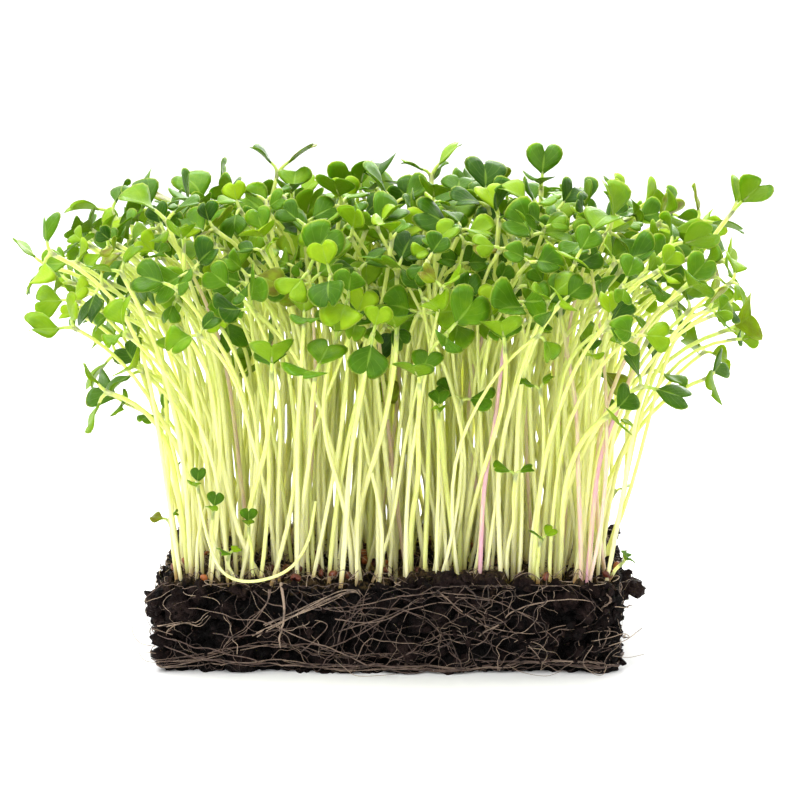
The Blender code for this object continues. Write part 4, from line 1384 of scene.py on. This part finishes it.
class SproutSettings(bpy.types.PropertyGroup):
    """Sizes and colours of the sprouts."""

    fill_count: IntProperty(name="Single sprouts", description="Sprouts that root between the clumps",
                            default=380, min=0, max=600)
    blade_thickness: length("Blade thickness", "Thickness of a seed leaf at its rib", 0.42 * MM)
    leaf_deep: colour("Deep leaf green", "Colour of the darkest leaves", (0.020, 0.072, 0.0008))
    leaf_green: colour("Leaf green", "Colour of most leaves", (0.084, 0.205, 0.0012))
    leaf_young: colour("Young leaf green", "Colour of the lightest leaves", (0.290, 0.450, 0.0045))
    leaf_back: colour("Leaf underside", "Colour that pales the leaves' undersides", (0.190, 0.330, 0.0060))
    leaf_brown: colour("Brown leaf", "Colour of the few leaves that have turned", (0.130, 0.085, 0.012))
    leaf_vein: colour("Vein", "Colour of the ribs and veins", (0.260, 0.420, 0.0450))
    # The margin colour is partly the leaf's own paler edge and partly a painted glow of light through the
    # thin edge
    leaf_margin_and_glow: colour("Leaf margin", "Colour of the thin edge of a leaf", (0.420, 0.580, 0.0700))
    stem_foot: colour("Stem foot", "Colour of a stem where it leaves the soil", (0.420, 0.250, 0.110))
    stem_cream: colour("Stem cream", "Colour of the lower stem and its streaks", (0.840, 0.810, 0.470))
    stem_yellow: colour("Stem yellow-green", "Colour of the middle of a stem", (0.860, 0.880, 0.360))
    stem_green: colour("Stem green", "Colour of the stem's top and the leaf stalks", (0.680, 0.780, 0.190))
    stem_blush: colour("Stem blush", "Colour of the stems that have turned purple", (0.660, 0.350, 0.450))
    leaf_stalk: colour("Leaf stalk", "Colour of the leaves' short stalks", (0.300, 0.460, 0.050))


class SoilSettings(bpy.types.PropertyGroup):
    """Amounts and colours of the soil and the seed husks."""

    crumbs: IntProperty(name="Crumbs", description="Loose crumbs on the block's skin", default=1600, min=0)
    husks: IntProperty(name="Husks", description="Seed husks that lie on the soil", default=90, min=0)
    crumb_size: length("Crumb size", "Radius of a middling crumb", 0.70 * MM)
    husk_size: length("Husk size", "Radius of a seed husk", 1.35 * MM)
    # The wet soil colour is also the painted shade in the hollows of the skin's relief
    dark: colour("Wet soil and painted shade", "Colour of the wettest soil", (0.0012, 0.0007, 0.0006))
    brown: colour("Soil brown", "Colour of most of the soil", (0.0080, 0.0034, 0.0028))
    # The dry soil colour is also the painted light on the raised clods of the skin
    grey: colour("Dry soil and painted light", "Colour of the driest grains", (0.0240, 0.0140, 0.0120))
    litter: colour("Litter", "Colour of the litter on top of the soil", (0.070, 0.044, 0.020))
    fleck: colour("Flecks", "Colour of the pale flecks", (0.050, 0.033, 0.024))
    husk_dark: colour("Dark husk", "Colour of the darkest husks", (0.060, 0.012, 0.006))
    husk_red: colour("Red husk", "Colour of most husks", (0.150, 0.030, 0.011))
    husk_orange: colour("Orange husk", "Colour of the lightest husks", (0.320, 0.085, 0.012))


class RootSettings(bpy.types.PropertyGroup):
    """Amounts and colours of the roots."""

    threads: IntProperty(name="Threads", description="Fine roots over the block's sides", default=210, min=0)
    band_threads: IntProperty(name="Band threads", description="Roots that mat round the block's foot",
                              default=16, min=1)
    hairs: IntProperty(name="Hairs", description="Fine hairs and fibres among the stems' feet",
                       default=1100, min=0)
    thread_radius: length("Thread radius", "Radius of a middling fine root", 0.095 * MM)
    brown: colour("Root brown", "Colour of the darkest roots", (0.045, 0.030, 0.024))
    tan: colour("Root tan", "Colour of most roots", (0.106, 0.065, 0.049))
    pale: colour("Root cream", "Colour of the lightest roots", (0.450, 0.335, 0.240))
    dirt: colour("Dirt", "Colour of the soil on the roots", (0.014, 0.009, 0.008))


class StageSettings(bpy.types.PropertyGroup):
    """The floor, the lights and the camera."""

    floor_size: length("Floor size", "Length of the floor's sides", 24.0)
    floor_colour: colour("Floor", "Colour of the floor", (0.90, 0.90, 0.90))
    sky_strength: FloatProperty(name="Sky strength", description="Strength of the soft light from above",
                                default=1.75, min=0.0)
    sky_front: FloatProperty(name="Front strength", description="Strength of the soft light from the front",
                             default=0.30, min=0.0)
    key_power: FloatProperty(name="Key light", description="Power of the large light above",
                             default=13.0, min=0.0, unit="POWER")
    fill_power: FloatProperty(name="Front light", description="Power of the light in front",
                              default=6.5, min=0.0, unit="POWER")
    back_power: FloatProperty(name="Back light", description="Power of the light behind the stand",
                              default=10.0, min=0.0, unit="POWER")
    camera_distance: length("Camera distance", "Distance from the aim to the camera", 0.900)
    lens: FloatProperty(name="Lens", description="Focal length in millimetres", default=152.18, min=1.0)


# Operators

class MICROGREENS_OT_soil(bpy.types.Operator):
    """Build the crumbling skin of the soil block"""

    bl_idname = "microgreens.soil"
    bl_label = "Soil Block"

    def execute(self, context):
        shape = Shape()
        points, faces, values = soil_mesh()
        shape.add(points, faces, tint=0.4, **values)
        piece = shape.build("soil_skin", [soil_finish()])
        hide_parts("soil_block")
        return {"FINISHED"}


class MICROGREENS_OT_crumbs(bpy.types.Operator):
    """Scatter loose crumbs over the soil"""

    bl_idname = "microgreens.crumbs"
    bl_label = "Soil Crumbs"

    def execute(self, context):
        soil = context.scene.microgreens_soil
        rng = random.Random(SEED + 11)
        shape = Shape()
        for place, size in CHUNKS:
            points, faces = crumb(Vector(place) * MM, size * MM, rng)
            shape.add(points, faces, tint=rng.random(), run=rng.uniform(0.5, 0.9))
        for number in range(soil.crumbs):
            place, way = random_skin(rng)
            size = soil.crumb_size * math.exp(rng.gauss(0, 0.45))
            if number % CRUMBS_PER_CLOD == 0:
                size = min(size * 2.2, LARGEST_CRUMB)
                place = place - way * 0.5 * size
            place = place + way * size * rng.uniform(-0.45, 0.25)
            place.z = max(place.z, size * 1.3)
            points, faces = crumb(place, size, rng)
            shape.add(points, faces, tint=rng.random(), run=rng.uniform(0.3, 1.0), upper=0.25 * way.z)
        shape.build("soil_crumbs", [soil_finish()])
        return {"FINISHED"}


class MICROGREENS_OT_husks(bpy.types.Operator):
    """Scatter seed husks over the top of the soil"""

    bl_idname = "microgreens.husks"
    bl_label = "Seed Husks"

    def execute(self, context):
        soil = context.scene.microgreens_soil
        rng = random.Random(SEED + 12)
        shape = Shape()
        spots = [(x * MM, y * MM, tint) for x, y, tint in HUSKS]
        for _ in range(soil.husks):
            spots.append((rng.uniform(-0.47, 0.47) * BLOCK_WIDTH, rng.uniform(-0.46, 0.44) * BLOCK_DEPTH,
                          rng.random()))
        for x, y, tint in spots:
            size = soil.husk_size * rng.uniform(0.65, 1.1)
            place = Vector((x, y, soil_top(x, y) + size * rng.uniform(0.5, 1.1)))
            points, faces = husk(place, size, rng)
            shape.add(points, faces, tint=tint)
        shape.build("seed_husks", [husk_finish()])
        return {"FINISHED"}


class MICROGREENS_OT_roots(bpy.types.Operator):
    """Build the net of roots over the block's sides"""

    bl_idname = "microgreens.roots"
    bl_label = "Root Net"

    def execute(self, context):
        roots = context.scene.microgreens_roots
        rng = random.Random(SEED + 2)
        shape = Shape()
        noise.seed_set(SEED)
        for points in packed_threads(rng):
            path = [Vector(p) for p in smooth_path(points, PACKED_STEPS)]
            path = [p + PACKED_DRIFT * noise.noise_vector(p / PACKED_DRIFT_SIZE) for p in path]
            last = PACKED_STEPS - 1
            radii = [PACKED_RADIUS * (1.1 - 0.6 * i / last) for i in range(PACKED_STEPS)]
            shape.add(*tube(path, radii, 6)[:2], tint=rng.uniform(0.4, 1.0))
        strand_rng = random.Random(SEED + 14)
        for radius, tint, spots in FRONT_ROOTS:
            self.add_front_root(shape, radius, tint, spots, strand_rng)
        for radius, tint, spots in LOOSE_ROOTS:
            path = smooth_path([Vector(spot) * MM for spot in spots], 8 * len(spots))
            shape.add(*tube(path, [radius * MM] * len(path), 5)[:2], tint=tint)
        for _ in range(roots.band_threads):
            self.add_band_thread(shape, rng)
        for _ in range(roots.threads):
            radius = roots.thread_radius * math.exp(rng.gauss(0, 0.35))
            points = fine_thread(rng, radius)
            path = smooth_path(points, len(points) * 2)
            radii = [radius * (1.1 - 0.7 * i / (len(path) - 1)) for i in range(len(path))]
            shape.add(*tube(path, radii, 4)[:2], tint=min(max(rng.gauss(0.42, 0.28), 0), 1))
        piece = shape.build("roots_on_block", [root_finish()])
        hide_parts("root_net")
        return {"FINISHED"}

    def add_front_root(self, shape, radius, tint, spots, rng):
        """A root on the front, as one stout root or as a bundle of strands that part and meet."""
        strands = BUNDLE_STRANDS if BUNDLE_LEAST <= radius < BUNDLE_MOST else 1
        spread = 0.55 if strands > 1 else 0.1
        for _ in range(strands):
            places = [(x + rng.gauss(0, spread), z + rng.gauss(0, spread), 0) for x, z in spots]
            path = smooth_path(places, 9 * len(spots)) * MM
            path = hug([front_share(x) for x, _, _ in path], path[:, 1], radius * 0.5 * MM)
            stout = radius * MM * (1.0 if strands == 1 else rng.uniform(0.42, 0.62))
            radii = [stout * (1.1 - 0.6 * i / len(path)) for i in range(len(path))]
            shade = min(max(tint + rng.gauss(-0.06, 0.12), 0), 1)
            shape.add(*tube(smooth_path(path, 2 * len(path)), np.repeat(radii, 2), 6)[:2], tint=shade)

    def add_band_thread(self, shape, rng):
        """A long root in the mat round the block's foot."""
        start, run = rng.random(), rng.uniform(0.2, 0.6)
        count = int(run * 230)
        swing, phase = rng.uniform(0.3, 1.0) * MM, rng.uniform(0, 6.28)
        shares = [start + run * i / count for i in range(count)]
        heights = []
        for share in shares:
            z = BAND_MIDDLE + BAND_WAVE * math.sin((share % 1.0) * 10 * math.pi)
            wander = noise.noise(Vector((share * 90, phase, 0)))
            z += swing * math.sin(share * 60 + phase) + BAND_WANDER * wander
            heights.append(max(z, BAND_LOWEST))
        path = hug(shares, heights, BAND_LIFT)
        radius = rng.uniform(0.10, 0.24) * MM
        radii = [radius * (1 - 0.5 * abs(2 * i / count - 1)) for i in range(count)]
        shape.add(*tube(path, radii, 5)[:2], tint=rng.uniform(0.25, 0.9))


class MICROGREENS_OT_hairs(bpy.types.Operator):
    """Build the fine hairs and fibres among the feet of the stems"""

    bl_idname = "microgreens.hairs"
    bl_label = "Root Hairs"

    def execute(self, context):
        roots = context.scene.microgreens_roots
        rng = random.Random(SEED + 13)
        shape = Shape()
        for _ in range(roots.hairs):
            x = rng.uniform(-0.48, 0.48) * BLOCK_WIDTH
            y = rng.uniform(-0.48, 0.48) * BLOCK_DEPTH
            heading = rng.uniform(0, 2 * math.pi)
            bend = rng.gauss(0, 0.5)
            rise = rng.uniform(0.3, 3.2) * MM
            size = rng.uniform(2.5, 8.0) * MM
            path = []
            for i in range(7):
                t = i / 6
                path.append((x, y, soil_top(x, y) + rise * math.sin(math.pi * (0.1 + 0.9 * t)) - 0.3 * MM))
                x += size / 6 * math.cos(heading)
                y += size / 6 * math.sin(heading)
                heading += bend
            radius = rng.uniform(0.05, 0.12) * MM
            shape.add(*tube(path, [radius] * 7, 4)[:2], tint=rng.uniform(0.35, 1.0))
        shape.build("root_hairs", [root_finish()])
        return {"FINISHED"}


class MICROGREENS_OT_clumps(bpy.types.Operator):
    """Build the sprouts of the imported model's clumps"""

    bl_idname = "microgreens.clumps"
    bl_label = "Sprout Clumps"

    def execute(self, context):
        look = context.scene.microgreens_sprouts
        rng = random.Random(SEED + 21)
        for number, (centre, sprouts) in enumerate(plan_clumps()[0], start=1):
            shape = Shape()
            for sprout in sprouts:
                sprout.girth = rng.uniform(0.80, 0.98)
                sprout.blush = 0.7 if rng.random() < 0.03 else 0.0
                add_sprout(shape, sprout, centre, look.blade_thickness, rng)
            piece = shape.build(f"sprouts_{number:02d}", [stem_finish(), leaf_finish()])
            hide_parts(f"sprout_clump_{number:02d}")
        return {"FINISHED"}


class MICROGREENS_OT_fill(bpy.types.Operator):
    """Build the single sprouts between the clumps"""

    bl_idname = "microgreens.fill"
    bl_label = "Single Sprouts"

    def execute(self, context):
        look = context.scene.microgreens_sprouts
        rng = random.Random(SEED + 22)
        sprouts = plan_fill(look.fill_count)
        print("single sprouts", len(sprouts))
        for zone in range(FILL_ZONES):
            shape = Shape()
            for sprout in sprouts[zone::FILL_ZONES]:
                add_sprout(shape, sprout, sprout.point(0.0), look.blade_thickness, rng)
            if zone == 0:
                path = smooth_path([Vector(p) * MM for p in FALLEN_STEM], 40)
                points, faces, shares = tube(path, [FALLEN_STEM_RADIUS] * 40, STEM_SIDES)
                shape.add(points, faces, 0, run=0.40 + 0.25 * shares, tint=0.5)
            if shape.faces:
                shape.build(f"single_sprouts_{zone + 1:02d}", [stem_finish(), leaf_finish()])
        return {"FINISHED"}


# The lights: each with its place, its size and the setting that holds its power
LIGHTS = (
    ("key_light", (-0.30, 0.05, 1.20), 0.8, "key_power"),
    ("front_light", (-0.50, -1.00, 0.70), 0.45, "fill_power"),
    ("back_light", (0.20, 1.00, 0.55), 0.8, "back_power"),
)

# The way in which the sky is brightest, and how far against and along it the sky's strength changes
SKY_WAY = (0.0, 0.45, 0.90)
SKY_DIM = -0.5
SKY_BRIGHT = 0.9

# The camera's angles round the stand and the place it looks at
CAMERA_AZIMUTH = math.radians(1.25)
CAMERA_ELEVATION = math.radians(8.25)
CAMERA_AIM = Vector((1.76, 0.0, 64.84)) * MM


class MICROGREENS_OT_stage(bpy.types.Operator):
    """Set up the floor, the lights and the camera"""

    bl_idname = "microgreens.stage"
    bl_label = "Stage"

    def execute(self, context):
        stage = context.scene.microgreens_stage
        context.scene.view_settings.view_transform = "Standard"
        self.add_floor(stage)
        self.add_sky(context.scene, stage)
        for name, place, size, power in LIGHTS:
            self.add_light(name, place, size, getattr(stage, power))
        self.add_camera(context.scene, stage)
        return {"FINISHED"}

    def add_floor(self, stage):
        """A pale floor under the block."""
        half = stage.floor_size / 2
        mesh = bpy.data.meshes.new("floor")
        corners = [(-half, -half, 0), (half, -half, 0), (half, half, 0), (-half, half, 0)]
        mesh.from_pydata(corners, [], [(0, 1, 2, 3)])
        finish = Finish("floor")
        paper = finish.span(finish.noise(0.4, 2.0), 0.3, 0.7, 0.0, 0.03)
        finish.set(Base_Color=finish.mix(paper, stage.floor_colour, (1.0, 1.0, 1.0)), Roughness=0.7)
        mesh.materials.append(finish.material)
        floor = bpy.data.objects.new("floor", mesh)
        bpy.context.scene.collection.objects.link(floor)

    def add_sky(self, scene, stage):
        """Soft light from all round, strongest from above and behind."""
        world = bpy.data.worlds.new("sky")
        world.use_nodes = True
        nodes, links = world.node_tree.nodes, world.node_tree.links
        background = nodes["Background"]
        way = nodes.new("ShaderNodeTexCoord").outputs["Generated"]
        lean = nodes.new("ShaderNodeVectorMath")
        lean.operation = "DOT_PRODUCT"
        lean.inputs[1].default_value = SKY_WAY
        links.new(way, lean.inputs[0])
        span = nodes.new("ShaderNodeMapRange")
        limits = {"From Min": SKY_DIM, "From Max": SKY_BRIGHT, "To Min": stage.sky_front,
                  "To Max": stage.sky_strength}
        for key, value in limits.items():
            span.inputs[key].default_value = value
        links.new(lean.outputs["Value"], span.inputs["Value"])
        links.new(span.outputs["Result"], background.inputs["Strength"])
        background.inputs["Color"].default_value = (1.0, 1.0, 1.0, 1.0)
        scene.world = world

    def add_light(self, name, place, size, power):
        """A round soft light that points at the stand."""
        light = bpy.data.lights.new(name, "AREA")
        light.shape = "DISK"
        light.size = size
        light.energy = power
        lamp = bpy.data.objects.new(name, light)
        lamp.location = place
        lamp.rotation_euler = (CAMERA_AIM - Vector(place)).to_track_quat("-Z", "Y").to_euler()
        bpy.context.scene.collection.objects.link(lamp)

    def add_camera(self, scene, stage):
        """The camera, at the photo's angle."""
        data = bpy.data.cameras.new("camera")
        data.lens = stage.lens
        data.sensor_width = 36.0
        data.clip_end = 100.0
        camera = bpy.data.objects.new("camera", data)
        flat = math.cos(CAMERA_ELEVATION)
        east, south = math.sin(CAMERA_AZIMUTH) * flat, math.cos(CAMERA_AZIMUTH) * flat
        back = Vector((east, -south, math.sin(CAMERA_ELEVATION)))
        camera.location = CAMERA_AIM + back * stage.camera_distance
        camera.rotation_euler = (-back).to_track_quat("-Z", "Y").to_euler()
        scene.collection.objects.link(camera)
        scene.camera = camera


SETTINGS = (
    ("microgreens_sprouts", SproutSettings),
    ("microgreens_soil", SoilSettings),
    ("microgreens_roots", RootSettings),
    ("microgreens_stage", StageSettings),
)
OPERATORS = (
    MICROGREENS_OT_soil,
    MICROGREENS_OT_crumbs,
    MICROGREENS_OT_husks,
    MICROGREENS_OT_roots,
    MICROGREENS_OT_hairs,
    MICROGREENS_OT_clumps,
    MICROGREENS_OT_fill,
    MICROGREENS_OT_stage,
)


class MICROGREENS_PT_panel(bpy.types.Panel):
    """Lists the settings and the steps of the build"""

    bl_idname = "MICROGREENS_PT_panel"
    bl_label = "Microgreens Block"
    bl_space_type = "VIEW_3D"
    bl_region_type = "UI"
    bl_category = "Microgreens"

    def draw(self, context):
        for key, group in SETTINGS:
            box = self.layout.box()
            for name in group.__annotations__:
                box.prop(getattr(context.scene, key), name)
        for operator in OPERATORS:
            self.layout.operator(operator.bl_idname)


CLASSES = (*(group for _, group in SETTINGS), *OPERATORS, MICROGREENS_PT_panel)


def register():
    """Makes the settings, the steps and the panel known to Blender."""
    for entry in CLASSES:
        bpy.utils.register_class(entry)
    for key, group in SETTINGS:
        setattr(bpy.types.Scene, key, PointerProperty(type=group))


def unregister():
    """Takes them out again."""
    for key, _ in SETTINGS:
        delattr(bpy.types.Scene, key)
    for entry in reversed(CLASSES):
        bpy.utils.unregister_class(entry)


def main():
    """Builds every piece."""
    register()
    bpy.ops.microgreens.soil()
    bpy.ops.microgreens.crumbs()
    bpy.ops.microgreens.husks()
    bpy.ops.microgreens.roots()
    bpy.ops.microgreens.hairs()
    bpy.ops.microgreens.clumps()
    bpy.ops.microgreens.fill()
    bpy.ops.microgreens.stage()


if __name__ == "__main__":
    main()
